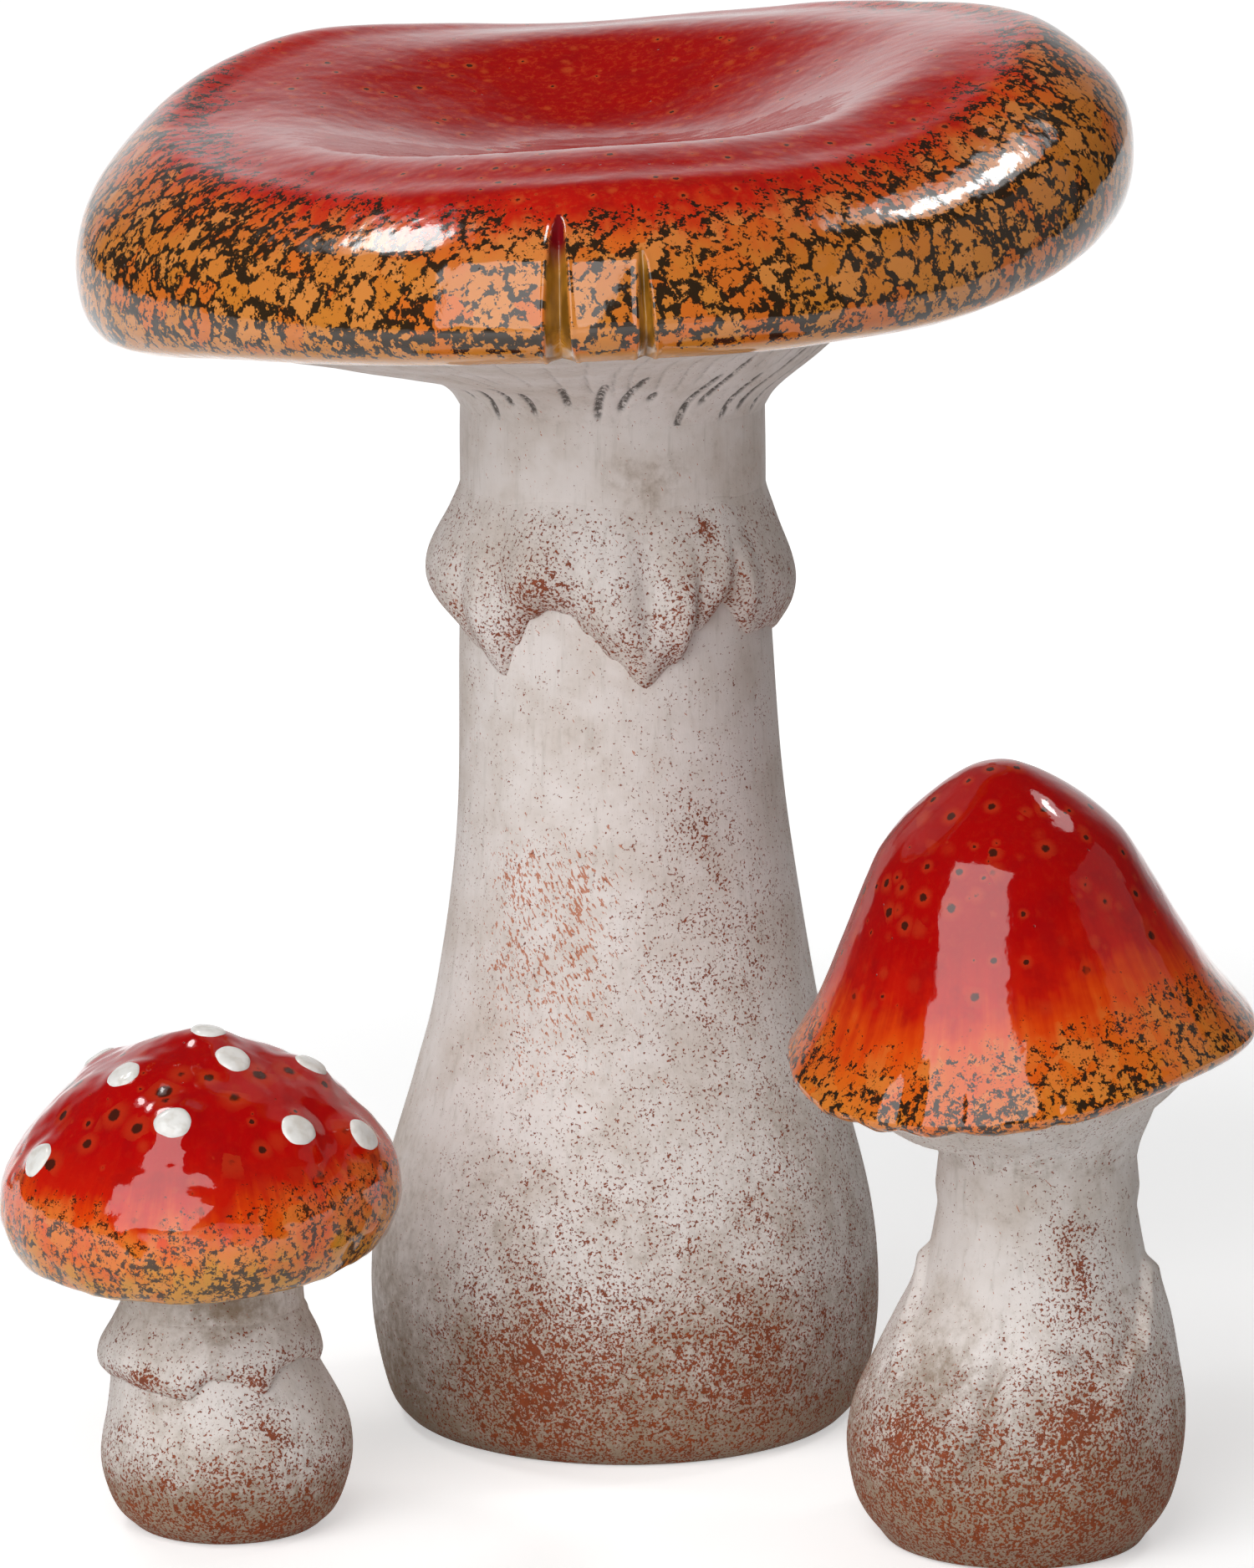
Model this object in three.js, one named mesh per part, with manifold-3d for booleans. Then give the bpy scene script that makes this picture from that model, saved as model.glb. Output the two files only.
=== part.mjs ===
// A set of three hollow terracotta mushrooms for the garden: a tall one with a broad, dished cap,
// a medium one with a bell cap and a small one with a spotted cap. Each stands by itself. A mushroom
// is cast in pieces that are joined with slip before firing: the shell of the cap, the plate with
// the gills that closes it from below, and the hollow stem, with a ragged ring round it or dabs of
// white enamel on the cap.
// Millimetres, +Z up, +X to the viewer's right, -Y towards the viewer. The origin is on the ground
// under the middle of the set. Angles are in degrees, anticlockwise from +X seen from above.
import * as THREE from 'three';
import { mergeVertices } from 'three/addons/utils/BufferGeometryUtils.js';
import Module from 'manifold-3d';

const wasm = await Module();
wasm.setup();

// Where each mushroom stands: the middle of its foot
const tallX = 0;
const tallY = 22;
const mediumX = 116;
const mediumY = -114;
const smallX = -119.5;
const smallY = -100;

// Heights: the top of the stem, and the lower lip of the cap
const tallNeckHeight = 320;
const tallLipHeight = 356;
const mediumNeckHeight = 117;
const mediumLipHeight = 148;
const smallNeckHeight = 76;
const smallLipHeight = 82.5;

// Caps: radius at the widest, and depth from the lip to the crown
const tallCapRadius = 162;
const tallCapDepth = 58.5;
const mediumCapRadius = 71.5;
const mediumCapDepth = 89;
const smallCapRadius = 60;
const smallCapDepth = 70;

// Stems: radius of the bulb at the foot, of the neck, and of the flat ring that stands on the ground
const tallBulbRadius = 80;
const tallNeckRadius = 47;
const tallFootRadius = 66;
const mediumBulbRadius = 51.5;
const mediumNeckRadius = 29.3;
const mediumFootRadius = 35;
const smallBulbRadius = 37.8;
const smallNeckRadius = 27;
const smallFootRadius = 25;

// Clay
const tallWall = 8;
const mediumWall = 6.5;
const smallWall = 5.5;
const tallDrainRadius = 20;
const mediumDrainRadius = 10;
const smallDrainRadius = 9;
const lipBevel = 3.5;
const plateThickness = 6;
const spigotHeight = 7;
const collarOver = 1;
const spigotShare = 0.7;
const floorShare = 0.8;
const floorClear = 1.5;
const seam = 0.3;
const skirtSeam = 0.45;

// Forms: where on the way out the crown's unevenness sets in and where its shoulder slumps, at which
// levels the wall leans in, how much of the gills' width turns from the level neck to the tilt of
// the cap, and the steps that outlines are drawn in
const crownEdge = [0.12, 0.68];
const shoulder = [0.6, 0.9];
const leanZone = [0.1, 0.6];
const gillsSettle = 0.4;
const outlineSteps = 80;

// Splits in the rim of the tall cap, at the front
const wideSplitAngle = -94.2;
const wideSplitWidth = 9;
const wideSplitDepth = 5.5;
const narrowSplitAngle = -85.2;
const narrowSplitWidth = 5.5;
const narrowSplitDepth = 3.5;
const wideSplitStart = 0.69;
const narrowSplitStart = 0.77;
const splitTip = 0.08;
const splitStations = 8;
const cutterOver = 3;

// Enamel dabs on the small cap
const dabRadius = 5.4;
const dabHeight = 1.2;
const dabSides = 10;
const dabShoulder = [0.7, 0.8];

const red = { color: 0xa01812, roughness: 0.12, metalness: 0 };
const whitewash = { color: 0xcdbfb8, roughness: 0.85, metalness: 0 };
const enamel = { color: 0xf2efe8, roughness: 0.25, metalness: 0 };

// Each cap's outline runs from its middle to its lip, in shares of the cap's radius and depth. The
// lists round the compass hold a value every 45 degrees: how far the rim spreads past its radius,
// how far it rises above the lip's plane, how much higher the crown is there, how far its shoulder
// slumps and how far the wall below the shoulder leans in, in millimetres.
const tall = {
  x: tallX, y: tallY,
  neckHeight: tallNeckHeight, lipHeight: tallLipHeight,
  wall: tallWall, drainRadius: tallDrainRadius,
  bulbRadius: tallBulbRadius, neckRadius: tallNeckRadius, footRadius: tallFootRadius,
  neckShift: [-4, 0], bend: [0.4, 1],
  stemOutline: [[0.004, 0.7], [0.03, 0.87], [0.11, 1], [0.21, 0.92], [0.34, 0.57], [0.43, 0.36],
    [0.6, 0.13], [0.78, 0.04], [1, 0]],
  stemSides: 36, stemRings: 10,
  capRadius: tallCapRadius, capDepth: tallCapDepth,
  capShift: [-7, 6], crownShift: [-2, 0], tilt: [3.1, 0.6],
  capOutline: [[0, 0.715], [0.215, 0.727], [0.415, 0.855], [0.59, 0.97], [0.745, 1], [0.845, 1],
    [0.957, 0.757], [1, 0.52], [1, 0.257], [0.968, 0.083], [0.916, 0]],
  spread: [1.5, -2.5, 0.5, 2, -1, -10, 4.5, -5],
  rise: [10, -1, -15, 16, -10, -3, 0, -2],
  swell: [8, 13, 16, 1, 1.5, -3, -1.5, -0.5],
  slump: [3, 0, 0, 0, 0, 10, 10, 10],
  lean: [0, 0, 0, 0, 0, 3, 6, 4],
  capSides: 60, capRings: 14, flutes: 0, fluteDepth: 0,
  grooveDepth: 1.5,
};

const medium = {
  x: mediumX, y: mediumY,
  neckHeight: mediumNeckHeight, lipHeight: mediumLipHeight,
  wall: mediumWall, drainRadius: mediumDrainRadius,
  bulbRadius: mediumBulbRadius, neckRadius: mediumNeckRadius, footRadius: mediumFootRadius,
  neckShift: [6, 0], bend: [0.2, 0.7],
  stemOutline: [[0.03, 0.56], [0.08, 0.76], [0.14, 0.9], [0.25, 1], [0.36, 0.94], [0.47, 0.74],
    [0.58, 0.52], [0.69, 0.27], [0.855, 0.09], [1, 0]],
  stemSides: 36, stemRings: 12,
  capRadius: mediumCapRadius, capDepth: mediumCapDepth,
  capShift: [0, -1.5], crownShift: [-9, -5.5], tilt: [6.1, 3.7],
  capOutline: [[0, 1], [0.13, 0.978], [0.33, 0.874], [0.51, 0.733], [0.636, 0.55], [0.742, 0.384],
    [0.866, 0.214], [0.97, 0.1], [1.01, 0.05], [0.967, 0.01], [0.915, 0]],
  spread: [-1.5, 1, 2.5, -2, -4, 2.5, 2.5, -3],
  rise: [-3, 2.5, -1, -3.5, 4, -1.5, -2.5, 0],
  swell: [0, 0, 0, 0, 0, 0, 0, 0],
  slump: [0, 0, 0, 0, 0, 0, 0, 0],
  lean: [0, 0, 0, 0, 0, 0, 0, 0],
  capSides: 48, capRings: 12, flutes: 12, fluteDepth: 0.7,
  grooveDepth: 0.8,
};

const small = {
  x: smallX, y: smallY,
  neckHeight: smallNeckHeight, lipHeight: smallLipHeight,
  wall: smallWall, drainRadius: smallDrainRadius,
  bulbRadius: smallBulbRadius, neckRadius: smallNeckRadius, footRadius: smallFootRadius,
  neckShift: [-4, 0], bend: [0.4, 0.75],
  stemOutline: [[0.03, 0.25], [0.08, 0.58], [0.16, 0.83], [0.26, 1], [0.35, 0.98], [0.44, 0.83],
    [0.53, 0.63], [0.63, 0.4], [0.76, 0.14], [1, 0]],
  stemSides: 28, stemRings: 10,
  capRadius: smallCapRadius, capDepth: smallCapDepth,
  capShift: [-5.5, -4], crownShift: [-1, 1.5], tilt: [-0.2, -1.2],
  capOutline: [[0, 0.99], [0.16, 0.972], [0.4, 0.88], [0.6, 0.78], [0.77, 0.63], [0.9, 0.494],
    [0.99, 0.36], [1.01, 0.19], [0.98, 0.1], [0.93, 0.025], [0.887, 0]],
  spread: [-1.5, 0, 1, 2, 0.5, -0.5, 0.5, -2],
  rise: [7, -2.5, -2, 4.5, 0.5, -1, -1.5, 3],
  swell: [0, 0, 0, 0, 0, 0, 0, 0],
  slump: [0, 0, 0, 0, 0, 0, 0, 0],
  lean: [0, 0, 0, 0, 0, 0, 0, 0],
  capSides: 36, capRings: 10, flutes: 0, fluteDepth: 0,
  grooveDepth: 0.6,
};

// The underside, from the neck to the lip in shares of the way out and of the way up
const gillOutline = [[0, 0], [0.04, 0.14], [0.12, 0.25], [0.3, 0.37], [0.65, 0.62], [1, 1]];

// Rings round the stems: the top is a share of the neck's height, the hem a list of [angle, how far
// it hangs below the top], and the fullness how far the ring stands off the stem every 45 degrees.
const tallSkirt = {
  top: 0.94, edge: 0.7, lip: 2, folds: 8, foldDepth: 0.9, sides: 48, rows: 5,
  hem: [[-180, 47], [-165, 49], [-149, 53], [-134.5, 60], [-128.5, 47], [-122, 38], [-114, 34.5],
    [-107, 38.5], [-100, 46], [-91, 52], [-80, 61], [-69, 54], [-59, 44.5], [-49, 37], [-33, 48],
    [-18, 48], [0, 51], [20, 55], [38, 43], [60, 58], [82, 45], [100, 54], [118, 40], [140, 55], [160, 44]],
  fullness: [6, 6, 6, 6, 8.5, 5, 5, 5],
};
const smallSkirt = {
  top: 0.92, edge: 0.7, lip: 1.2, folds: 6, foldDepth: 0.5, sides: 32, rows: 4,
  hem: [[-180, 24], [-146, 22], [-121, 23], [-104, 24], [-88, 18], [-75, 19], [-62, 23], [-45, 17],
    [-29, 16], [0, 20], [40, 24], [75, 19], [110, 25], [145, 20]],
  fullness: [2, 2.5, 3.5, 3.5, 3.5, 3, 3, 2],
};

// The folded sheath round the bulb of the medium stem: its ragged upper edge as [angle, height]
const sheath = {
  lip: 3, fade: 26, edge: 5,
  hem: [[-180, 86], [-160, 66], [-148, 52], [-128, 48], [-112, 42], [-101, 60], [-86, 66], [-70, 60],
    [-56, 56], [-45, 84], [-25, 90], [0, 84], [30, 60], [60, 46], [90, 64], [120, 50], [150, 72]],
};

// Enamel dabs as [angle, distance from the cap's axis in shares of its radius]: eight show at the front
const dabs = [[-54, 0.07], [-58, 0.33], [-138, 0.475], [-5, 0.55], [-99, 0.67], [-48, 0.76],
  [-152, 0.885], [-20, 0.875], [40, 0.83], [78, 0.57], [112, 0.87], [145, 0.63]];

const turnAngle = 360;
const compassStep = 45;
const { degToRad, lerp, smoothstep, euclideanModulo } = THREE.MathUtils;

// Value at an angle of a list that goes round the compass in even steps, as a smooth closed curve
function around(values, angle) {
  const place = euclideanModulo(angle, turnAngle) / compassStep;
  const step = Math.floor(place);
  const [before, here, next, after] = [-1, 0, 1, 2]
    .map((offset) => values[euclideanModulo(step + offset, values.length)]);
  const share = place - step;
  const bend = 2 * before - 5 * here + 4 * next - after;
  const twist = 3 * here - before - 3 * next + after;
  return here + 0.5 * share * (next - before + share * (bend + share * twist));
}

// Value at an angle of a hem given as [angle, value] pairs in order
function hemValue(hem, angle) {
  const turned = euclideanModulo(angle - hem[0][0], turnAngle) + hem[0][0];
  const after = hem.findIndex(([at]) => at > turned);
  const next = after < 0 ? [hem[0][0] + turnAngle, hem[0][1]] : hem[after];
  const last = after < 0 ? hem[hem.length - 1] : hem[after - 1];
  return lerp(last[1], next[1], smoothstep(turned, last[0], next[0]));
}

function outlinePoints(outline, steps, width, height) {
  const curve = new THREE.SplineCurve(outline.map(([x, y]) => new THREE.Vector2(x * width, y * height)));
  return curve.getSpacedPoints(steps).map((point) => [Math.max(point.x, 0), point.y]);
}

// A body turned round the vertical. The section runs from the top outwards and down, then back
// inside; it ends on the axis or closes on itself. The place function gives each point its position.
function turn(section, sides, place) {
  const points = [];
  const rows = section.map(([radius, height, share]) => {
    const count = radius === 0 ? 1 : sides;
    const first = points.length;
    for (let side = 0; side < count; side += 1) {
      points.push(place(radius, height, (turnAngle * side) / sides, share));
    }
    return { first, count };
  });
  const closed = rows[0].count > 1;
  const index = [];
  const at = (row, side) => row.first + (side % row.count);
  rows.forEach((row, number) => {
    const next = rows[(number + 1) % rows.length];
    if (number === rows.length - 1 && !closed) return;
    for (let side = 0; side < sides; side += 1) {
      if (next.count > 1) index.push(at(row, side), at(next, side), at(next, side + 1));
      if (row.count > 1) index.push(at(row, side), at(next, side + 1), at(row, side + 1));
    }
  });
  const geometry = new THREE.BufferGeometry().setFromPoints(points);
  geometry.setIndex(index);
  return geometry;
}

function toSolid(geometry) {
  const bare = geometry.clone();
  Object.keys(bare.attributes).forEach((name) => name !== 'position' && bare.deleteAttribute(name));
  const merged = mergeVertices(bare);
  return new wasm.Manifold(new wasm.Mesh({
    numProp: 3,
    vertProperties: merged.attributes.position.array,
    triVerts: Uint32Array.from(merged.index.array),
  }));
}

function fromSolid(solid) {
  const { vertProperties, triVerts } = solid.getMesh();
  const geometry = new THREE.BufferGeometry();
  geometry.setAttribute('position', new THREE.BufferAttribute(vertProperties, 3));
  geometry.setIndex(Array.from(triVerts));
  return geometry;
}

// Where a point of the cap lies: radius from the cap's axis, height above the plane of its lip
function capPoint(spec, radius, height, angle) {
  const turned = degToRad(angle);
  const reach = radius / spec.capRadius;
  const level = height / spec.capDepth;
  const spreadHere = around(spec.spread, angle) * reach ** 2;
  const flute = spec.fluteDepth * Math.cos(spec.flutes * turned) * reach ** 4;
  const leanHere = around(spec.lean, angle) * reach * smoothstep(level, ...leanZone);
  const out = radius + spreadHere + flute - leanHere;
  const raised = around(spec.swell, angle) * level * smoothstep(reach, ...crownEdge)
    - around(spec.slump, angle) * level * smoothstep(reach, ...shoulder);
  const [tiltX, tiltY] = spec.tilt.map((tilt) => Math.tan(degToRad(tilt)));
  return new THREE.Vector3(
    spec.x + spec.capShift[0] + out * Math.cos(turned) + spec.crownShift[0] * level,
    spec.y + spec.capShift[1] + out * Math.sin(turned) + spec.crownShift[1] * level,
    spec.lipHeight + height + raised + around(spec.rise, angle) * reach ** 2
      + radius * (tiltX * Math.cos(turned) + tiltY * Math.sin(turned)),
  );
}

// The inner wall is the outline drawn in by the wall, and starts at the bevel inside the lip
function innerCap(spec, [radius, height]) {
  const narrowed = radius * (1 - spec.wall / spec.capRadius);
  return [narrowed, lipBevel + height * (1 - (spec.wall + lipBevel) / spec.capDepth)];
}

function capShell(spec) {
  const outside = outlinePoints(spec.capOutline, spec.capRings, spec.capRadius, spec.capDepth);
  const innerRings = Math.round(spec.capRings / 2);
  const inside = outlinePoints(spec.capOutline, innerRings, spec.capRadius, spec.capDepth)
    .map((point) => innerCap(spec, point)).reverse();
  return turn([...outside, ...inside], spec.capSides, (...point) => capPoint(spec, ...point));
}

function seatRadius(spec) {
  return innerCap(spec, [spec.capOutline.at(-1)[0] * spec.capRadius, 0])[0] - seam;
}

// The top of the stem, level, with the cap's lip above it
function neckPoint(spec, radius, height, angle) {
  const turned = degToRad(angle);
  return new THREE.Vector3(
    spec.x + spec.neckShift[0] + radius * Math.cos(turned),
    spec.y + spec.neckShift[1] + radius * Math.sin(turned),
    spec.lipHeight + height,
  );
}

function spigotRadius(spec) {
  return spec.neckRadius - spec.wall;
}

// A shallow cone from the stem's neck, where it is level, to the lip, where it follows the cap
function gillPlate(spec) {
  const rim = seatRadius(spec);
  const neck = spec.neckRadius;
  const drop = spec.neckHeight - spec.lipHeight;
  const bore = spigotRadius(spec) + seam;
  const under = gillOutline.map(([across, up]) => [lerp(neck, rim, across), lerp(drop, lipBevel, up)]);
  const lower = under.map(([radius, height]) => [radius, height, 1]).reverse();
  const upper = under.filter((_, number) => number % 2 === 1 && number > 1)
    .map(([radius, height]) => [radius, height + plateThickness, 0]);
  const section = [...lower, [bore, drop, 0], [bore, drop + spigotHeight + collarOver, 0], ...upper];
  return turn(section, spec.capSides, (radius, height, angle, gills) => {
    const follow = smoothstep(radius, neck, lerp(neck, rim, gillsSettle));
    const groove = Math.round(angle / (turnAngle / spec.capSides)) % 2;
    const inner = radius > neck && radius < rim ? gills : 0;
    const lift = inner * groove * spec.grooveDepth;
    return neckPoint(spec, radius, height + lift, angle)
      .lerp(capPoint(spec, radius, height + lift, angle), follow);
  });
}

function stemOutline(spec, steps) {
  const swollen = spec.bulbRadius - spec.neckRadius;
  const points = outlinePoints(spec.stemOutline.map(([height, share]) => [share, height]),
    steps, swollen, spec.neckHeight - seam);
  return points.map(([extra, height]) => [spec.neckRadius + extra, height]);
}

// Radius of the plain stem at a height
function stemRadius(spec, height) {
  const points = stemOutline(spec, outlineSteps);
  const after = points.findIndex(([, at]) => at > height);
  const above = points[after < 0 ? points.length - 1 : Math.max(after, 1)];
  const below = points[Math.max((after < 0 ? points.length - 1 : after) - 1, 0)];
  return lerp(below[0], above[0], smoothstep(height, below[1], above[1]));
}

function stemPoint(spec, radius, height, angle) {
  const turned = degToRad(angle);
  const climbed = smoothstep(height / spec.neckHeight, ...spec.bend);
  return new THREE.Vector3(
    spec.x + spec.neckShift[0] * climbed + radius * Math.cos(turned),
    spec.y + spec.neckShift[1] * climbed + radius * Math.sin(turned),
    height,
  );
}

// A tube of clay: flat foot ring with a drain hole, bulb, neck, and a spigot for the gill plate
function hollowStem(spec, relief) {
  const outside = stemOutline(spec, spec.stemRings).reverse()
    .map(([radius, height]) => [radius, height, 1]);
  const inside = stemOutline(spec, Math.round(spec.stemRings / 2))
    .filter(([, height]) => height > spec.wall * floorClear && height < spec.neckHeight - spec.wall)
    .map(([radius, height]) => [radius - spec.wall, height, 0]);
  const floor = inside[0][0] * floorShare;
  const spigot = spigotRadius(spec);
  const bore = spigot - spec.wall * spigotShare;
  const section = [
    [spigot, spec.neckHeight + spigotHeight, 0], [spigot, spec.neckHeight - seam, 0],
    ...outside,
    [spec.footRadius, 0, 0], [spec.drainRadius, 0, 0],
    [spec.drainRadius, spec.wall, 0], [floor, spec.wall, 0],
    ...inside,
    [bore, spec.neckHeight - spec.wall, 0], [bore, spec.neckHeight + spigotHeight, 0],
  ];
  return turn(section, spec.stemSides, (radius, height, angle, outer) => (
    stemPoint(spec, radius + (outer ? relief(angle, height) : 0), height, angle)));
}

// The sheath stands out just under its ragged edge and dies away towards the foot
function sheathRelief(angle, height) {
  const below = hemValue(sheath.hem, angle) - height;
  if (below < 0) return sheath.lip * (smoothstep(below, -sheath.edge, 0) - 0.5);
  return sheath.lip * (Math.exp(-below / sheath.fade) - 0.5);
}

// A ragged ring round a stem, with its seam to the stem inside
function ring(spec, skirt) {
  const [inside, outside] = [1, 2];
  const rows = Array.from({ length: skirt.rows + 1 }, (_, row) => row / skirt.rows);
  const section = [...rows.map((row) => [outside, row]), ...rows.map((row) => [inside, row]).reverse()];
  return turn(section, skirt.sides, (layer, row, angle) => {
    const height = skirt.top * spec.neckHeight - hemValue(skirt.hem, angle) * row;
    const puff = around(skirt.fullness, angle) * Math.sin(Math.PI * row ** 2);
    const fold = skirt.foldDepth * Math.cos(skirt.folds * degToRad(angle)) * row;
    const thick = layer === outside ? skirt.edge + skirt.lip * row + puff + fold : 0;
    return stemPoint(spec, stemRadius(spec, height) + skirtSeam + thick, height, angle);
  });
}

// The way that the cap faces at a point, from the direction along its outline there
function facing(along, side) {
  return new THREE.Vector3().crossVectors(along, side).normalize();
}

function sideways(angle) {
  return new THREE.Vector3(-Math.sin(degToRad(angle)), Math.cos(degToRad(angle)), 0);
}

// A wedge that follows the outline of the cap down to its lip, wider and deeper as it goes
function splitCutter(spec, angle, width, depth, start) {
  const outline = outlinePoints(spec.capOutline, outlineSteps, spec.capRadius, spec.capDepth);
  const side = sideways(angle);
  const points = [];
  for (let station = 0; station <= splitStations; station += 1) {
    const share = station / splitStations;
    const at = Math.min(Math.round(outlineSteps * lerp(start, 1, share)), outlineSteps - 1);
    const here = capPoint(spec, ...outline[at], angle);
    const ahead = capPoint(spec, ...outline[at + 1], angle).sub(here).normalize();
    const out = facing(ahead, side);
    if (station === splitStations) here.addScaledVector(ahead, cutterOver * 2);
    const half = (width * lerp(splitTip, 1, share) * (1 + cutterOver / depth)) / 2;
    points.push(here.clone().addScaledVector(out, cutterOver).addScaledVector(side, -half));
    points.push(here.clone().addScaledVector(out, cutterOver).addScaledVector(side, half));
    points.push(here.clone().addScaledVector(out, -depth * Math.sqrt(share)));
  }
  const corners = [0, 1, 2];
  const index = [...corners];
  for (let station = 0; station < splitStations; station += 1) {
    corners.forEach((corner) => {
      const a = station * corners.length + corner;
      const b = station * corners.length + ((corner + 1) % corners.length);
      const [nextA, nextB] = [a + corners.length, b + corners.length];
      index.push(a, nextA, nextB, a, nextB, b);
    });
  }
  index.push(...corners.map((corner) => splitStations * corners.length + corner).reverse());
  const geometry = new THREE.BufferGeometry().setFromPoints(points);
  geometry.setIndex(index);
  return geometry;
}

// A flat dab of enamel on the cap: its place and the way that it faces
function dab(spec, [angle, distance]) {
  const outline = outlinePoints(spec.capOutline, outlineSteps, spec.capRadius, spec.capDepth);
  const after = outline.findIndex(([radius]) => radius > distance * spec.capRadius);
  const [inner, outer] = [outline[after - 1], outline[after]];
  const share = (distance * spec.capRadius - inner[0]) / (outer[0] - inner[0]);
  const here = capPoint(spec, lerp(inner[0], outer[0], share), lerp(inner[1], outer[1], share), angle);
  const along = capPoint(spec, ...outer, angle).sub(capPoint(spec, ...inner, angle));
  const normal = facing(along, sideways(angle));
  const [wide, high] = dabShoulder;
  const section = [[0, dabHeight], [dabRadius * wide, dabHeight * high], [dabRadius, 0], [0, 0]];
  const geometry = turn(section, dabSides, (radius, level, at) => new THREE.Vector3(
    radius * Math.cos(degToRad(at)), radius * Math.sin(degToRad(at)), level));
  return { geometry, position: here.addScaledVector(normal, seam), normal };
}

const set = new THREE.Group();

function add(name, geometry, finish) {
  geometry.computeVertexNormals();
  const mesh = new THREE.Mesh(geometry, new THREE.MeshStandardMaterial(finish));
  mesh.name = name;
  set.add(mesh);
  return mesh;
}

const splits = [
  splitCutter(tall, wideSplitAngle, wideSplitWidth, wideSplitDepth, wideSplitStart),
  splitCutter(tall, narrowSplitAngle, narrowSplitWidth, narrowSplitDepth, narrowSplitStart),
];
const tallShell = splits.map(toSolid)
  .reduce((shell, cutter) => shell.subtract(cutter), toSolid(capShell(tall)));

add('tall_cap', fromSolid(tallShell), red);
add('tall_gills', gillPlate(tall), whitewash);
add('tall_stem', hollowStem(tall, () => 0), whitewash);
add('tall_skirt', ring(tall, tallSkirt), whitewash);

add('medium_cap', capShell(medium), red);
add('medium_gills', gillPlate(medium), whitewash);
add('medium_stem', hollowStem(medium, sheathRelief), whitewash);

add('small_cap', capShell(small), red);
add('small_gills', gillPlate(small), whitewash);
add('small_stem', hollowStem(small, () => 0), whitewash);
add('small_skirt', ring(small, smallSkirt), whitewash);

dabs.forEach((place, number) => {
  const { geometry, position, normal } = dab(small, place);
  const mesh = add(`small_spot_${String(number + 1).padStart(2, '0')}`, geometry, enamel);
  mesh.position.copy(position);
  mesh.quaternion.setFromUnitVectors(new THREE.Vector3(0, 0, 1), normal);
});

export default set;
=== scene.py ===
import math

import bpy
import numpy as np
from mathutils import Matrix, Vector, noise


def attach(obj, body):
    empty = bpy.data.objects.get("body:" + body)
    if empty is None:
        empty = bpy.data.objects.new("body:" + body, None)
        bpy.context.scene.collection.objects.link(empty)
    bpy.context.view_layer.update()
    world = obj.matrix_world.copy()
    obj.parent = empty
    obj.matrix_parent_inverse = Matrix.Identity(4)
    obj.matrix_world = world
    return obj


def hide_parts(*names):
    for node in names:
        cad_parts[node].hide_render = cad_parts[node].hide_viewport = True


# A set of three hollow terracotta mushrooms with glazed caps and whitewashed stems.
# Every piece stands for one CAD node and rides on the body of its mushroom.
# Sizes are in millimetres and angles in degrees, anticlockwise from +X seen from above.

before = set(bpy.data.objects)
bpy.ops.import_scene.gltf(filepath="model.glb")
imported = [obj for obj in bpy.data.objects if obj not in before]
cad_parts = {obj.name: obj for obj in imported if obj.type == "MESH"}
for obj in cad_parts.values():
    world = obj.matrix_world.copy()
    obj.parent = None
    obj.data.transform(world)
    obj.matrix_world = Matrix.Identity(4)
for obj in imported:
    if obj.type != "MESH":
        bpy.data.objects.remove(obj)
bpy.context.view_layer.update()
print("frame loaded with", len(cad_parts), "nodes")

mm = 0.001
rng = np.random.default_rng(7)


# Shaping

def deselectAll():
    for thing in list(bpy.context.selected_objects):
        thing.select_set(False)


def ease(value, low, high):
    share = np.clip((value - low) / (high - low), 0, 1)
    return share * share * (3 - 2 * share)


def halfTurn(angle):
    # the same angle between -180 and 180
    return np.mod(angle + 180, 360) - 180


def compassValue(values, angle):
    # a list with a value every 45 degrees, read at any angle as a smooth closed curve
    listed = np.array(values, float)
    place = np.mod(angle, 360) / 45
    step = np.floor(place).astype(int)
    share = place - step
    before, here, after, later = (listed[(step + shift) % len(listed)] for shift in (-1, 0, 1, 2))
    bend = 2 * before - 5 * here + 4 * after - later
    twist = 3 * here - before - 3 * after + later
    return here + 0.5 * share * (after - before + share * (bend + share * twist))


def hemValue(pairs, angle):
    # [angle, value] pairs in order round a hem, joined smoothly
    angles = np.array([pair[0] for pair in pairs] + [pairs[0][0] + 360], float)
    values = np.array([pair[1] for pair in pairs] + [pairs[0][1]], float)
    turned = np.mod(angle - angles[0], 360) + angles[0]
    step = np.clip(np.searchsorted(angles, turned, side="right") - 1, 0, len(pairs) - 1)
    share = ease(turned, angles[step], angles[step + 1])
    return values[step] + (values[step + 1] - values[step]) * share


def smoothLine(points, count):
    # evenly spaced points on a smooth curve through the given ones
    given = np.array(points, float)
    padded = np.vstack([given[:1], given, given[-1:]])
    fine = []
    for before, here, after, later in zip(padded, padded[1:], padded[2:], padded[3:]):
        share = np.linspace(0, 1, 30, endpoint=False)[:, None]
        slopeHere, slopeAfter = (after - before) / 2, (later - here) / 2
        fine.append(here + share * slopeHere
                    + share ** 2 * (3 * (after - here) - 2 * slopeHere - slopeAfter)
                    + share ** 3 * (2 * (here - after) + slopeHere + slopeAfter))
    fine = np.vstack(fine + [given[-1:]])
    along = np.concatenate([[0], np.cumsum(np.linalg.norm(np.diff(fine, axis=0), axis=1))])
    wanted = np.linspace(0, along[-1], count)
    line = np.stack([np.interp(wanted, along, fine[:, 0]), np.interp(wanted, along, fine[:, 1])], axis=1)
    line[:, 0] = np.maximum(line[:, 0], 0)
    return line


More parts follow.
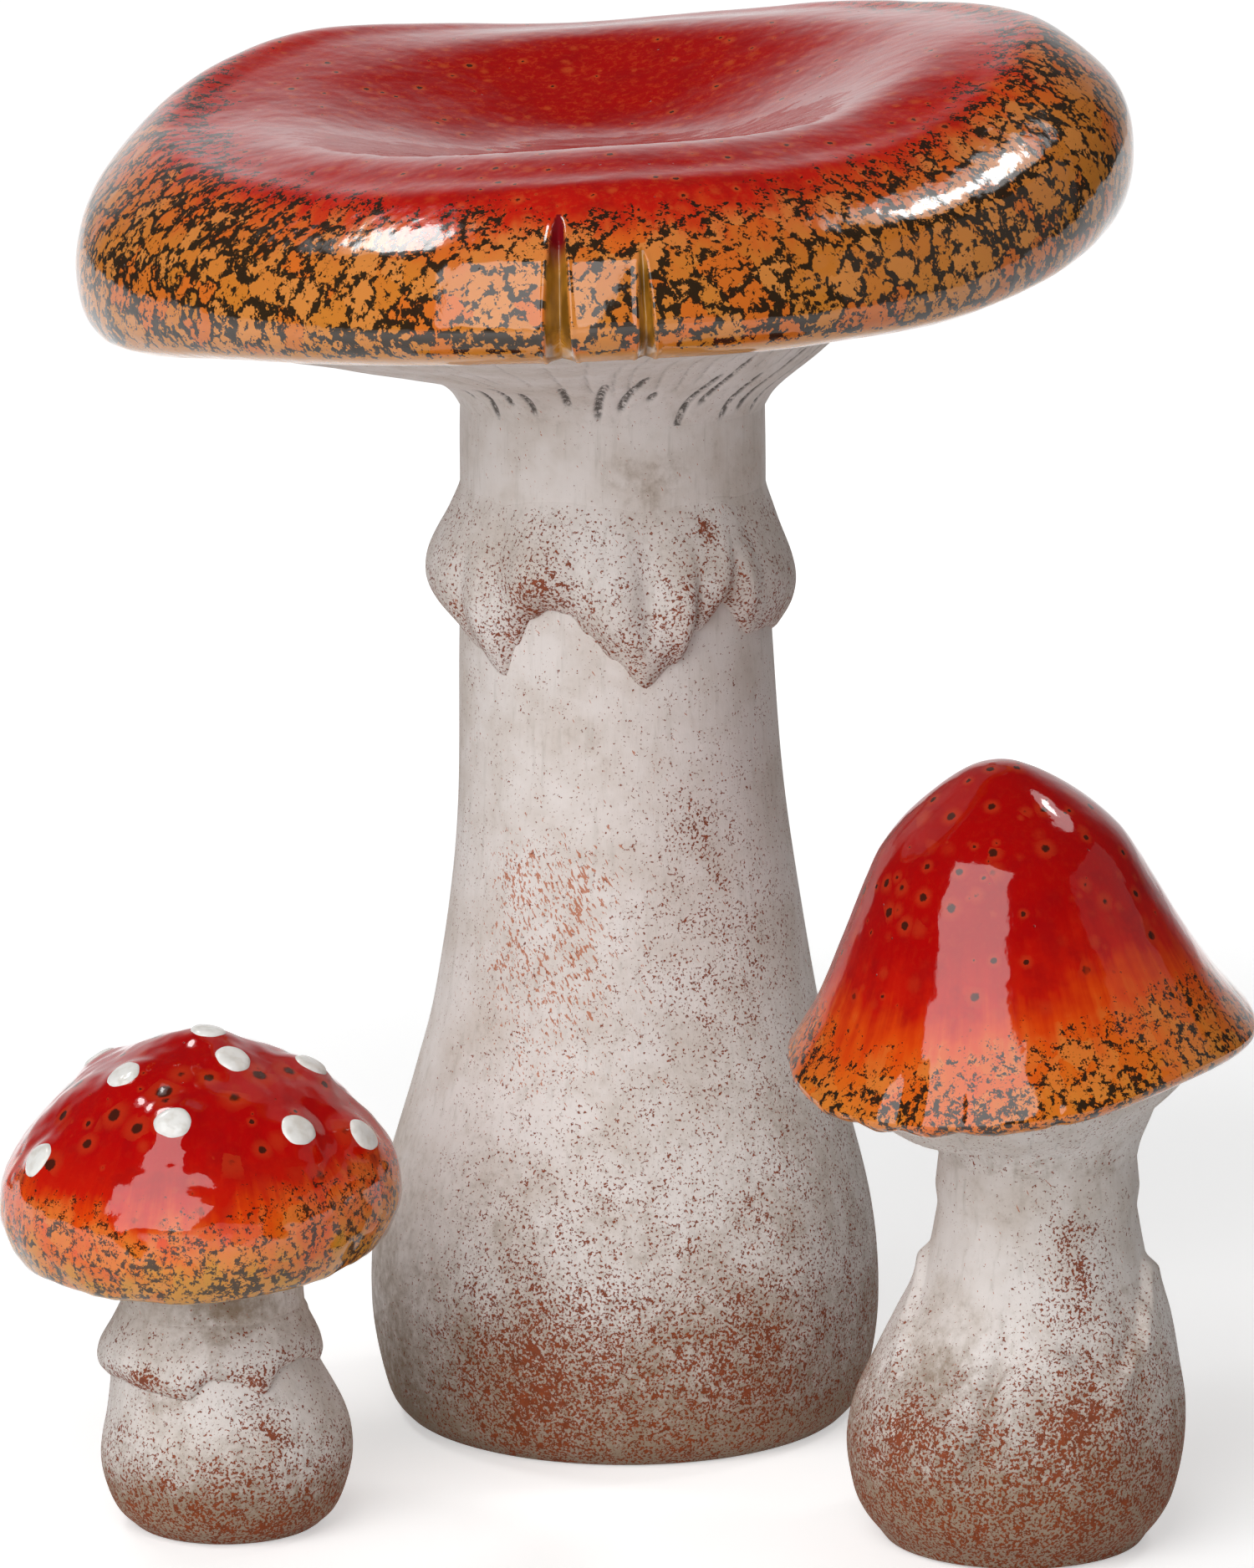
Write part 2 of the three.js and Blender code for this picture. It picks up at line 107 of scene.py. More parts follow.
def spinPiece(name, profile, steps, crease=50):
    # a profile drawn point by point in radius and height, then spun like clay on a wheel
    deselectAll()
    bpy.ops.mesh.primitive_plane_add(size=mm)
    piece = bpy.context.object
    piece.name = piece.data.name = name
    bpy.ops.object.mode_set(mode="EDIT")
    bpy.ops.mesh.merge(type="CENTER")
    bpy.ops.transform.translate(value=(profile[0][0] * mm, 0, profile[0][1] * mm))
    for start, end in zip(profile, profile[1:]):
        move = ((end[0] - start[0]) * mm, 0, (end[1] - start[1]) * mm)
        bpy.ops.mesh.extrude_region_move(TRANSFORM_OT_translate={"value": move})
    bpy.ops.mesh.select_all(action="SELECT")
    bpy.ops.mesh.spin(steps=steps, angle=math.tau, center=(0, 0, 0), axis=(0, 0, 1))
    bpy.ops.mesh.select_all(action="SELECT")
    bpy.ops.mesh.remove_doubles(threshold=0.002 * mm)
    bpy.ops.mesh.normals_make_consistent(inside=False)
    bpy.ops.object.mode_set(mode="OBJECT")
    bpy.ops.object.shade_smooth_by_angle(angle=math.radians(crease))
    return piece


def refine(piece, chosen, cuts):
    # finer faces where a mark is narrower than the mesh; chosen holds a true or false for each face
    mesh = piece.data
    mesh.polygons.foreach_set("select", chosen)
    corners = {corner for face in mesh.polygons if face.select for corner in face.vertices}
    mesh.vertices.foreach_set("select", [vertex in corners for vertex in range(len(mesh.vertices))])
    mesh.edges.foreach_set("select", [edge.vertices[0] in corners and edge.vertices[1] in corners
                                      for edge in mesh.edges])
    deselectAll()
    piece.select_set(True)
    bpy.context.view_layer.objects.active = piece
    bpy.ops.object.mode_set(mode="EDIT")
    bpy.ops.mesh.subdivide(number_cuts=cuts)
    bpy.ops.object.mode_set(mode="OBJECT")


def readPoints(piece):
    points = np.empty(len(piece.data.vertices) * 3)
    piece.data.vertices.foreach_get("co", points)
    return points.reshape(-1, 3) / mm


def setPoints(piece, points):
    piece.data.vertices.foreach_set("co", (points * mm).ravel())
    piece.data.update()


def wheelPlace(piece):
    # radius, height and angle of each point on the wheel
    x, y, z = readPoints(piece).T
    return np.hypot(x, y), z, np.degrees(np.arctan2(y, x))


def outward(piece):
    normals = np.empty(len(piece.data.vertices) * 3)
    piece.data.vertex_normals.foreach_get("vector", normals)
    return normals.reshape(-1, 3)


def readProfile(radius, height, profile, values):
    # the value that each point has on the stretch of the profile that it lies on
    line, values = np.array(profile, float), np.array(values, float)
    nearest = np.full(len(radius), np.inf)
    found = np.zeros(len(radius))
    for number in range(len(line) - 1):
        start, along = line[number], line[number + 1] - line[number]
        length = max(along @ along, 1e-9)
        share = np.clip(((radius - start[0]) * along[0] + (height - start[1]) * along[1]) / length, 0, 1)
        gap = np.hypot(radius - start[0] - share * along[0], height - start[1] - share * along[1])
        closer = gap < nearest
        nearest[closer] = gap[closer]
        found[closer] = (values[number] + share * (values[number + 1] - values[number]))[closer]
    return found


def lumps(points, size, seed):
    # smooth unevenness between about -1 and 1, with bumps of the given size
    return np.array([noise.noise(Vector(point) / size + Vector((seed, -seed, seed))) for point in points])


def presses(angle, height, marks):
    # marks of thumb and tool: [angle, height, half width in degrees, half height, how far outwards]
    total = np.zeros(len(angle))
    for at, level, wide, tall, depth in marks:
        turn = halfTurn(angle - at)
        total += depth * np.exp(-(turn / wide) ** 2 - ((height - level) / tall) ** 2)
    return total


def keepValue(piece, name, values):
    # a value for each point that the materials read
    attribute = piece.data.attributes.new(name, "FLOAT", "POINT")
    attribute.data.foreach_set("value", np.asarray(values, np.float32))


def keepClay(piece, carved, wear, dirtAndShade):
    for name, values in (("carved", carved), ("wear", wear), ("dirtAndShade", dirtAndShade)):
        keepValue(piece, name, values)
    return piece


def hand(piece, form, material, node):
    # the piece moves with its mushroom and is shown in place of the CAD node
    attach(piece, form["body"])
    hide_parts(node)
    piece.data.materials.append(material)
    print(piece.name, "made with", len(piece.data.polygons), "faces")


def handClay(piece, form, node):
    hand(piece, form, washedClay, node)


# The three mushrooms: the forms that CAD drew, in the same sizes

lipBevel = 3.5
plateThickness = 6
spigotHeight = 7
collarDepth = 7
seatGap = 0.3

tall = {
    "body": "tall_mushroom", "place": (0, 22), "neckHeight": 320, "lipHeight": 356, "wall": 8,
    "drain": 20, "bulb": 80, "neck": 47, "foot": 66, "neckShift": (-4, 0), "bend": (0.4, 1),
    "stemOutline": [[0.004, 0.7], [0.03, 0.87], [0.11, 1], [0.21, 0.92], [0.34, 0.57], [0.43, 0.36],
                    [0.6, 0.13], [0.78, 0.04], [1, 0]],
    "capRadius": 162, "capDepth": 58.5, "capShift": (-7, 6), "crownShift": (-2, 0), "tilt": (3.1, 0.6),
    "capOutline": [[0, 0.715], [0.215, 0.727], [0.415, 0.855], [0.59, 0.97], [0.745, 1], [0.845, 1],
                   [0.957, 0.757], [1, 0.52], [1, 0.257], [0.968, 0.083], [0.916, 0]],
    "spread": [1.5, -2.5, 0.5, 2, -1, -10, 4.5, -5],
    "rise": [10, -1, -15, 16, -10, -3, 0, -2],
    "swell": [8, 13, 16, 1, 1.5, -3, -1.5, -0.5],
    "slump": [3, 0, 0, 0, 0, 10, 10, 10],
    "lean": [0, 0, 0, 0, 0, 3, 6, 4],
}
medium = {
    "body": "medium_mushroom", "place": (116, -114), "neckHeight": 117, "lipHeight": 148, "wall": 6.5,
    "drain": 10, "bulb": 51.5, "neck": 29.3, "foot": 35, "neckShift": (6, 0), "bend": (0.2, 0.7),
    "stemOutline": [[0.03, 0.56], [0.08, 0.76], [0.14, 0.9], [0.25, 1], [0.36, 0.94], [0.47, 0.74],
                    [0.58, 0.52], [0.69, 0.27], [0.855, 0.09], [1, 0]],
    "capRadius": 71.5, "capDepth": 89, "capShift": (0, -1.5), "crownShift": (-9, -5.5),
    "tilt": (6.1, 3.7),
    "capOutline": [[0, 1], [0.13, 0.978], [0.33, 0.874], [0.51, 0.733], [0.636, 0.55], [0.742, 0.384],
                   [0.866, 0.214], [0.97, 0.1], [1.01, 0.05], [0.967, 0.01], [0.915, 0]],
    "spread": [-1.5, 1, 2.5, -2, -4, 2.5, 2.5, -3],
    "rise": [-3, 2.5, -1, -3.5, 4, -1.5, -2.5, 0],
    "swell": [0] * 8, "slump": [0] * 8, "lean": [0] * 8,
}
small = {
    "body": "small_mushroom", "place": (-119.5, -100), "neckHeight": 76, "lipHeight": 82.5, "wall": 5.5,
    "drain": 9, "bulb": 37.8, "neck": 27, "foot": 25, "neckShift": (-4, 0), "bend": (0.4, 0.75),
    "stemOutline": [[0.03, 0.25], [0.08, 0.58], [0.16, 0.83], [0.26, 1], [0.35, 0.98], [0.44, 0.83],
                    [0.53, 0.63], [0.63, 0.4], [0.76, 0.14], [1, 0]],
    "capRadius": 60, "capDepth": 70, "capShift": (-5.5, -4), "crownShift": (-1, 1.5),
    "tilt": (-0.2, -1.2),
    "capOutline": [[0, 0.99], [0.16, 0.972], [0.4, 0.88], [0.6, 0.78], [0.77, 0.63], [0.9, 0.494],
                   [0.99, 0.36], [1.01, 0.19], [0.98, 0.1], [0.93, 0.025], [0.887, 0]],
    "spread": [-1.5, 0, 1, 2, 0.5, -0.5, 0.5, -2],
    "rise": [7, -2.5, -2, 4.5, 0.5, -1, -1.5, 3],
    "swell": [0] * 8, "slump": [0] * 8, "lean": [0] * 8,
}


def capPlace(form, radius, height, angle):
    # where a point of the cap lies: radius from its axis, height above the plane of its lip
    turned = np.radians(angle)
    reach, level = radius / form["capRadius"], height / form["capDepth"]
    out = (radius + compassValue(form["spread"], angle) * reach ** 2
           - compassValue(form["lean"], angle) * reach * ease(level, 0.1, 0.6))
    raised = (compassValue(form["swell"], angle) * level * ease(reach, 0.12, 0.68)
              - compassValue(form["slump"], angle) * level * ease(reach, 0.6, 0.9)
              + compassValue(form["rise"], angle) * reach ** 2)
    slopeX, slopeY = (math.tan(math.radians(tilt)) for tilt in form["tilt"])
    return np.stack([
        form["place"][0] + form["capShift"][0] + out * np.cos(turned) + form["crownShift"][0] * level,
        form["place"][1] + form["capShift"][1] + out * np.sin(turned) + form["crownShift"][1] * level,
        form["lipHeight"] + height + raised + radius * (slopeX * np.cos(turned) + slopeY * np.sin(turned)),
    ], axis=1)


def neckPlace(form, radius, height, angle):
    turned = np.radians(angle)
    return np.stack([form["place"][0] + form["neckShift"][0] + radius * np.cos(turned),
                     form["place"][1] + form["neckShift"][1] + radius * np.sin(turned),
                     form["lipHeight"] + height], axis=1)


def stemPlace(form, radius, height, angle):
    turned = np.radians(angle)
    climbed = ease(height / form["neckHeight"], *form["bend"])
    return np.stack([form["place"][0] + form["neckShift"][0] * climbed + radius * np.cos(turned),
                     form["place"][1] + form["neckShift"][1] * climbed + radius * np.sin(turned),
                     height], axis=1)


def stemLine(form, count):
    swollen = form["bulb"] - form["neck"]
    drawn = [[share * swollen, level * form["neckHeight"]] for level, share in form["stemOutline"]]
    return smoothLine(drawn, count) + (form["neck"], 0)


def stemRadius(form, height):
    line = stemLine(form, 200)
    return np.interp(height, line[:, 1], line[:, 0])


# Caps

splitMargin = 3
splitCuts = 4


def capLine(form, count):
    return smoothLine([[share * form["capRadius"], level * form["capDepth"]]
                       for share, level in form["capOutline"]], count)


def capProfile(form, rings, innerRings):
    # the outside from the crown down, the lip, and the inside back up
    outside = capLine(form, rings)
    inside = capLine(form, innerRings)[::-1]
    inside[:, 0] *= 1 - form["wall"] / form["capRadius"]
    inside[:, 1] = lipBevel + inside[:, 1] * (1 - (form["wall"] + lipBevel) / form["capDepth"])
    lip = outside[-1][0]
    under = [[lip - 0.25 * form["wall"], -0.4], [lip - 0.6 * form["wall"], 0.8]]
    profile = np.vstack([outside, under, inside])
    down = np.concatenate([np.linspace(0, 1, rings), np.ones(len(profile) - rings)])
    outer = np.concatenate([np.ones(rings + len(under)), np.zeros(innerRings)])
    length = np.linalg.norm(np.diff(outside, axis=0), axis=1).sum()
    return profile, down, outer, length


def makeCap(name, form, look):
    # down runs from 0 at the crown to 1 at the lip, outer is 1 on the outside and 0 on the inside
    profile, downs, outers, length = capProfile(form, look["rings"], look["innerRings"])
    piece = spinPiece(name, profile, look["steps"])
    splits = look.get("splits", [])
    if splits:
        radius, height, angle = wheelPlace(piece)
        down = readProfile(radius, height, profile, downs)
        outer = readProfile(radius, height, profile, outers) > 0.5
        near = np.zeros(len(radius), bool)
        for split in splits:
            aside = np.abs(angle - split["angle"]) * math.radians(1) * radius
            near |= outer & (aside < split["width"] + splitMargin) & (down > split["start"] - 0.03)
        faces = [all(near[corner] for corner in face.vertices) for face in piece.data.polygons]
        refine(piece, faces, splitCuts)
    radius, height, angle = wheelPlace(piece)
    down = readProfile(radius, height, profile, downs)
    outer = readProfile(radius, height, profile, outers)
    flutes = np.zeros(len(radius))
    for at, wide, depth, reach in look.get("flutes", []):
        turn = halfTurn(angle - at)
        flutes += depth * np.exp(-(turn / wide) ** 2) * ease(down, 1 - reach, 1 - reach / 3) * outer
    setPoints(piece, capPlace(form, radius, height, angle))
    points, normals = readPoints(piece), outward(piece)
    swell = flutes + outer * (look["lumps"] * lumps(points, look["lumpSize"], 3) - look["sunk"]
                              + 0.3 * look["lumps"] * lumps(points, look["lumpSize"] / 3, 5))
    for wart in look.get("warts", []):
        # a swelling with a flat top, for a dab of enamel
        centre = capPlace(form, *capSpot(form, wart["out"], wart["angle"]))[0]
        away = np.linalg.norm(points - centre, axis=1) / wart["size"]
        swell += wart["height"] * np.exp(-away ** 4 * 0.7) * outer
    inSplit = np.zeros(len(radius))
    for split in splits:
        # a slit at its top that opens towards the lip, with raised edges
        aside = (angle - split["angle"]) * math.radians(1) * radius
        share = np.clip((down - split["start"]) / (1 - split["start"]), 0, 1)
        half = 0.5 * split["width"] * (0.06 + np.sqrt(share) * (1.15 - 0.3 * share))
        depth = split["depth"] * np.clip(share * 3, 0, 1) * (1 - 0.75 * ease(share, 0.82, 1))
        across = np.clip(np.abs(aside) / half, 0, 1.5)
        within = (down > split["start"]) * outer
        swell -= within * depth * np.clip(1 - across, 0, 1) ** 0.8
        edge = np.exp(-((np.abs(aside) - half - 0.5) / 0.7) ** 2) * ease(share, 0, 0.1)
        swell += within * split["lip"] * edge
        inSplit = np.maximum(inSplit, within * ease(across, 1.05, 0.85))
    setPoints(piece, points + normals * swell[:, None])
    keepValue(piece, "run", (down - compassValue(look["glazeLine"], angle)) * length)
    keepValue(piece, "speckled", (down - compassValue(look["speckLine"], angle)) * length)
    keepValue(piece, "rim", (1 - down) * length)
    keepValue(piece, "split", inSplit)
    turned = np.radians(angle)
    flow = piece.data.attributes.new("flow", "FLOAT_VECTOR", "POINT")
    flow.data.foreach_set("vector", np.stack([np.cos(turned), np.sin(turned), down], axis=1)
                          .astype(np.float32).ravel())
    return piece


def capSpot(form, out, angle):
    # a place on the cap's outside, from its distance out in shares of the radius
    line = capLine(form, 160)
    rising = line[:np.argmax(line[:, 0]) + 1]
    radius = out * form["capRadius"]
    return (np.array([radius]), np.array([np.interp(radius, rising[:, 0], rising[:, 1])]),
            np.array([float(angle)]))


# The plate with the gills under each cap

def makeGills(name, form, look):
    rim = form["capOutline"][-1][0] * form["capRadius"] * (1 - form["wall"] / form["capRadius"]) - seatGap
    neck, drop = form["neck"], form["neckHeight"] - form["lipHeight"]
    across = [[0, 0], [0.04, 0.14], [0.12, 0.25], [0.3, 0.37], [0.65, 0.62], [1, 1]]
    under = smoothLine([[neck + share * (rim - neck), drop + rise * (lipBevel - drop)]
                        for share, rise in across], look["rings"])
    bore = neck - form["wall"] + seatGap
    collar = [[neck - 0.5, drop - collarDepth], [neck - 0.05, drop - collarDepth / 2]]
    upper = [[rim, lipBevel + plateThickness],
             [neck + across[3][0] * (rim - neck), drop + across[3][1] * (lipBevel - drop) + plateThickness],
             [bore, drop + spigotHeight + 1], [bore, drop - collarDepth], collar[0]]
    profile = np.vstack([collar, under, upper])
    outers = np.concatenate([np.ones(len(collar) + len(under)), np.zeros(len(upper))])
    piece = spinPiece(name, profile, look["steps"])
    radius, height, angle = wheelPlace(piece)
    outer = readProfile(radius, height, profile, outers) * (height < lipBevel + 0.1)
    carved = np.zeros(len(radius))
    for band in look["strokes"]:
        for number in range(band["count"]):
            at = band["turn"] + 360 * (number + rng.uniform(-0.2, 0.2)) / band["count"]
            first = band["from"] + rng.uniform(-1, 1) * band["ragged"]
            last = band["to"] + rng.uniform(-1, 1) * band["ragged"] * 2
            lean = rng.uniform(0.1, 0.5) * band["lean"]
            out = radius - neck
            turn = halfTurn(angle - at - lean * (out - first))
            aside = turn * math.radians(1) * radius / band["wide"]
            ends = ease(out, first, first + 2.5) * ease(out, last, last - 6)
            carved = np.maximum(carved, band["deep"] * np.exp(-aside ** 2) * ends)
    follow = ease(radius, neck, neck + 0.4 * (rim - neck))[:, None]
    share = np.clip((radius - neck) / (rim - neck), 0, 1)
    height = height + compassValue(look.get("tuck", [0] * 8), angle) * np.sin(math.pi * share) ** 2
    height = height + outer * carved * look["groove"]
    setPoints(piece, neckPlace(form, radius, height, angle) * (1 - follow)
              + capPlace(form, radius, height, angle) * follow)
    wear = np.full(len(radius), look["wear"])
    # darker towards the neck: painted shade in the corner where the gills meet the stem under the cap
    return keepClay(piece, carved * outer, wear, look["dirtAndShade"] * ease(radius, neck + 12, neck - 1))


# Stems and the rings round them. No relief reaches the edge of the foot or the seat of the gills.

plainFoot = 4
plainNeck = 8
hemStart = 0.82
ringDepth = 1.2
topDepth = 0.8


def makeStem(name, form, look):
    line = stemLine(form, look["rings"])[::-1]
    line[0, 1] -= seatGap
    inside = [[radius - form["wall"], height] for radius, height in stemLine(form, 16)
              if form["wall"] * 1.5 < height < form["neckHeight"] - form["wall"]]
    spigot = form["neck"] - form["wall"]
    bore = spigot - 0.7 * form["wall"]
    footEdge = smoothLine([line[-1], [(line[-1][0] + form["foot"]) / 2 + 0.4, line[-1][1] * 0.25],
                           [form["foot"], 0]], 5)[1:]
    profile = np.vstack([
        [[spigot, form["neckHeight"] + spigotHeight], [spigot, line[0, 1]]], line, footEdge,
        [[form["drain"], 0], [form["drain"], form["wall"]], [inside[0][0] * 0.8, form["wall"]]], inside,
        [[bore, form["neckHeight"] - form["wall"]], [bore, form["neckHeight"] + spigotHeight],
         [spigot, form["neckHeight"] + spigotHeight]]])
    outers = np.zeros(len(profile))
    outers[2:2 + len(line) + 1] = 1
    piece = spinPiece(name, profile, look["steps"])
    radius, height, angle = wheelPlace(piece)
    outer = readProfile(radius, height, profile, outers) * ease(height, 0, plainFoot)
    outer = outer * ease(height, form["neckHeight"] - plainNeck, form["neckHeight"] * 0.86)
    relief = presses(angle, height, look["presses"])
    if "sheath" in look:
        sheath = look["sheath"]
        below = hemValue(sheath["hem"], angle) - height
        above = sheath["lip"] * (ease(below, -sheath["edge"], 0) - 0.5)
        relief += np.where(below < 0, above, sheath["lip"] * (np.exp(-below / sheath["fade"]) - 0.5))
    points = stemPlace(form, radius, height, angle)
    relief += look["lumps"] * lumps(points * (1, 1, 0.5), look["lumpSize"], 11)
    radius = radius + relief * outer
    setPoints(piece, stemPlace(form, radius, height, angle))
    keepValue(piece, "scoured", presses(angle, height, look.get("scoured", [])))
    wear = np.interp(height, *look["wear"]) + presses(angle, height, look["worn"])
    # grime together with painted shade: darker towards the foot and under the cap, with smudges of painted
    # shade under hems and in folds
    dirtAndShade = np.interp(height, *look["dirtAndShade"]) + presses(angle, height, look["smearsAndShade"])
    return keepClay(piece, np.zeros(len(radius)), wear, dirtAndShade)


def makeRing(name, form, look):
    # the outer side runs down from the top to the hem in rows from 0 to 1, the inner side back up
    count = look["rings"]
    outside, inside, blank = 60, 50, 100
    rows = np.linspace(0, 1, count) * blank
    profile = np.vstack([[[outside, -row] for row in rows], [[inside, -row] for row in rows[::-1]],
                         [[outside, 0]]])
    piece = spinPiece(name, profile, look["steps"], 120)
    radius, height, angle = wheelPlace(piece)
    row = -height / blank
    outer = (radius > (outside + inside) / 2).astype(float)
    fall = hemValue(look["hem"], angle)
    level = look["top"] * form["neckHeight"] - fall * row
    puff = compassValue(look["fullness"], angle) * np.maximum(np.sin(math.pi * row ** 1.6), 0) ** 1.2
    thick = 0.3 + look["lip"] * ease(row, 0.1, 0.8) + puff + presses(angle, level, look["presses"])
    thick = np.maximum(thick, 0.2 + 0.8 * ease(row, 0, 0.2))
    hemRound = np.sqrt(np.clip(1 - (np.clip(row - hemStart, 0, 1) / (1 - hemStart)) ** 2, 0, 1))
    thick = thick * (0.1 + 0.9 * hemRound)
    buried = (1 - ease(row, 0, 0.3)) ** 2  # the top edge starts inside the stem and comes out at a slant
    outwards = np.where(outer > 0.5, thick * (1 - buried) - topDepth * buried, -ringDepth)
    points = stemPlace(form, stemRadius(form, level) + outwards, level, angle)
    uneven = look["lumps"] * lumps(points, look["lumpSize"], 17) * outer * ease(row, 0, 0.3)
    setPoints(piece, stemPlace(form, stemRadius(form, level) + outwards + uneven, level, angle))
    wear = (look["wear"] * ease(row, 0.02, 0.22) + look["hemWear"] * ease(row, 0.5, 0.95)
            + presses(angle, level, look["worn"]))
    # a little grime all over, with painted shade smudged under the cap and into the creases of the folds
    dirtAndShade = look["dirtAndShade"] + presses(angle, level, look["smearsAndShade"])
    return keepClay(piece, np.zeros(len(radius)), wear, dirtAndShade)


# White enamel dabs

def makeDab(name, form, cap, out, angle, look):
    radius, height = look["radius"], look["height"]
    dome = smoothLine([[share * radius, level * height] for share, level in look["outline"]], look["rings"])
    profile = np.vstack([dome, [[0, dome[-1][1]]]])
    piece = spinPiece(name, profile, look["steps"])
    points = readPoints(piece)
    around = np.arctan2(points[:, 1], points[:, 0])
    wobble = np.ones(len(points))
    for (waves, depth), start in zip(look["wobble"], rng.uniform(0, math.tau, len(look["wobble"]))):
        wobble += depth * np.sin(waves * around + start)
    target = Vector(capPlace(form, *capSpot(form, out, angle))[0]) * mm
    middle, away = cap.closest_point_on_mesh(target)[1:3]
    side = away.cross(Vector((0, 0, 1))).normalized() if abs(away.z) < 0.99 else Vector((1, 0, 0))
    upward = side.cross(away).normalized()
    placed = []
    for (x, y, lift), grow in zip(points, wobble):
        spot = middle + (side * x + upward * y) * grow * mm
        placed.append((cap.closest_point_on_mesh(spot)[1] + away * lift * mm) / mm)
    setPoints(piece, np.array(placed))
    return piece


# Colours and textures. Textures work in millimetres on Object coordinates.

def paint(red, green, blue):
    # a colour as a screen shows it, 0 to 255, made linear
    shares = [value / 255 for value in (red, green, blue)]
    linear = [share / 12.92 if share <= 0.04045 else ((share + 0.055) / 1.055) ** 2.4 for share in shares]
    return (*linear, 1)


def addNode(tree, kind, inputs=None, **settings):
    made = tree.nodes.new("ShaderNode" + kind)
    for name, value in settings.items():
        setattr(made, name, value)
    for name, value in (inputs or {}).items():
        if isinstance(value, bpy.types.NodeSocket):
            tree.links.new(value, made.inputs[name])
        else:
            made.inputs[name].default_value = value
    return made


def work(tree, operation, first, second=0.0, third=0.0):
    return addNode(tree, "Math", {0: first, 1: second, 2: third}, operation=operation).outputs[0]


def times(tree, first, second):
    return work(tree, "MULTIPLY", first, second)


def timesPlus(tree, first, second, third):
    return work(tree, "MULTIPLY_ADD", first, second, third)


def centred(tree, value):
    # a noise round 0 in place of round a half
    return work(tree, "SUBTRACT", value, 0.5)


def vectorWork(tree, operation, *vectors):
    return addNode(tree, "VectorMath", dict(enumerate(vectors)), operation=operation).outputs[0]


def fade(tree, value, low, high, fromValue=0.0, toValue=1.0):
    # soft step from one value to the other between low and high
    return addNode(tree, "MapRange", {"Value": value, "From Min": low, "From Max": high,
                                      "To Min": fromValue, "To Max": toValue},
                   interpolation_type="SMOOTHSTEP").outputs[0]


def blendColour(tree, share, first, second):
    return addNode(tree, "Mix", {0: share, 6: first, 7: second}, data_type="RGBA").outputs[2]


def cover(tree, colour, share, shade):
    return blendColour(tree, share, colour, paint(*shade))


def grain(tree, place, size, detail=2.0, rough=0.5, distortion=0.0):
    return addNode(tree, "TexNoise", {"Vector": place, "Scale": 1 / size, "Detail": detail,
                                      "Roughness": rough, "Distortion": distortion}).outputs["Fac"]


def millimetres(tree, shift=(0, 0, 0)):
    where = addNode(tree, "TexCoord").outputs["Object"]
    placed = {"Vector": where, "Location": shift, "Scale": (1000, 1000, 1000)}
    return addNode(tree, "Mapping", placed).outputs[0]


def ownValue(tree, name):
    return addNode(tree, "Attribute", attribute_name=name).outputs["Fac"]


def startGroup(name, inputs, outputs):
    group = bpy.data.node_groups.new(name, "ShaderNodeTree")
    for label, kind in inputs:
        group.interface.new_socket(name=label, in_out="INPUT", socket_type="NodeSocket" + kind)
    for label, kind in outputs:
        group.interface.new_socket(name=label, in_out="OUTPUT", socket_type="NodeSocket" + kind)
    return group, group.nodes.new("NodeGroupInput").outputs, group.nodes.new("NodeGroupOutput").inputs


def useGroup(tree, group, inputs):
    return addNode(tree, "Group", inputs, node_tree=group).outputs


def startMaterial(name):
    material = bpy.data.materials.new(name)
    material.use_nodes = True
    material.node_tree.nodes.clear()
    return material, material.node_tree


def endMaterial(tree, colour, roughness, height, look):
    bump = addNode(tree, "Bump", {"Strength": look["peel"], "Distance": look["peelDepth"] * mm,
                                  "Height": height})
    shader = addNode(tree, "BsdfPrincipled", {"Base Color": colour, "Roughness": roughness,
                                              "Normal": bump.outputs[0], **look["gloss"]})
    addNode(tree, "OutputMaterial", {"Surface": shader.outputs[0]})


def cellNode(tree, place, scale, feature="F1"):
    return addNode(tree, "TexVoronoi", {"Vector": place, "Scale": scale}, feature=feature)


def chances(tree, cells):
    # three chance numbers for each cell
    return addNode(tree, "SeparateColor", {0: cells.outputs["Color"]}).outputs


def spongeGroup(look):
    # dabs of a sponge: round cells of glaze, with torn black glaze caught between them
    group, given, result = startGroup(
        "sponge dabs", [("Place", "Vector"), ("Density", "Float"), ("Cells", "Float")],
        [("Black", "Float"), ("Tone", "Float")])
    place = given["Place"]
    torn = addNode(group, "TexNoise", {"Vector": place, "Scale": 0.3, "Detail": 2.0})
    offset = vectorWork(group, "SUBTRACT", torn.outputs["Color"], (0.5, 0.5, 0.5))
    moved = vectorWork(group, "MULTIPLY_ADD", offset, (look["torn"],) * 3, place)
    wide = cellNode(group, moved, look["wideCells"], "DISTANCE_TO_EDGE")
    tones = cellNode(group, moved, look["wideCells"])
    close = cellNode(group, moved, look["closeCells"], "DISTANCE_TO_EDGE")
    ragged = grain(group, place, 2.7, 5.0, 0.68, 0.4)
    patchy = grain(group, place, 15, 2.0, 0.5)
    edges = times(group, fade(group, wide.outputs["Distance"], 0.0, 0.2, 1.0, 0.0), look["wideEdges"])
    closeEdges = fade(group, close.outputs["Distance"], 0.0, 0.25, 1.0, 0.0)
    edges = timesPlus(group, closeEdges, look["closeEdges"], edges)
    heat = times(group, ragged, timesPlus(group, given["Cells"], -0.25, 1.6))
    heat = timesPlus(group, edges, given["Cells"], heat)
    heat = timesPlus(group, patchy, look["patches"], heat)
    black = fade(group, timesPlus(group, given["Density"], 0.36, heat), *look["blackFrom"])
    fine = centred(group, grain(group, place, 0.8, 2.0, 0.6))
    dotted = timesPlus(group, fade(group, given["Density"], 0.0, 0.5), 0.22, heat)
    dots = fade(group, timesPlus(group, fine, 0.95, dotted), *look["dotsFrom"])
    group.links.new(work(group, "MAXIMUM", black, dots), result["Black"])
    group.links.new(chances(group, tones)[0], result["Tone"])
    return group


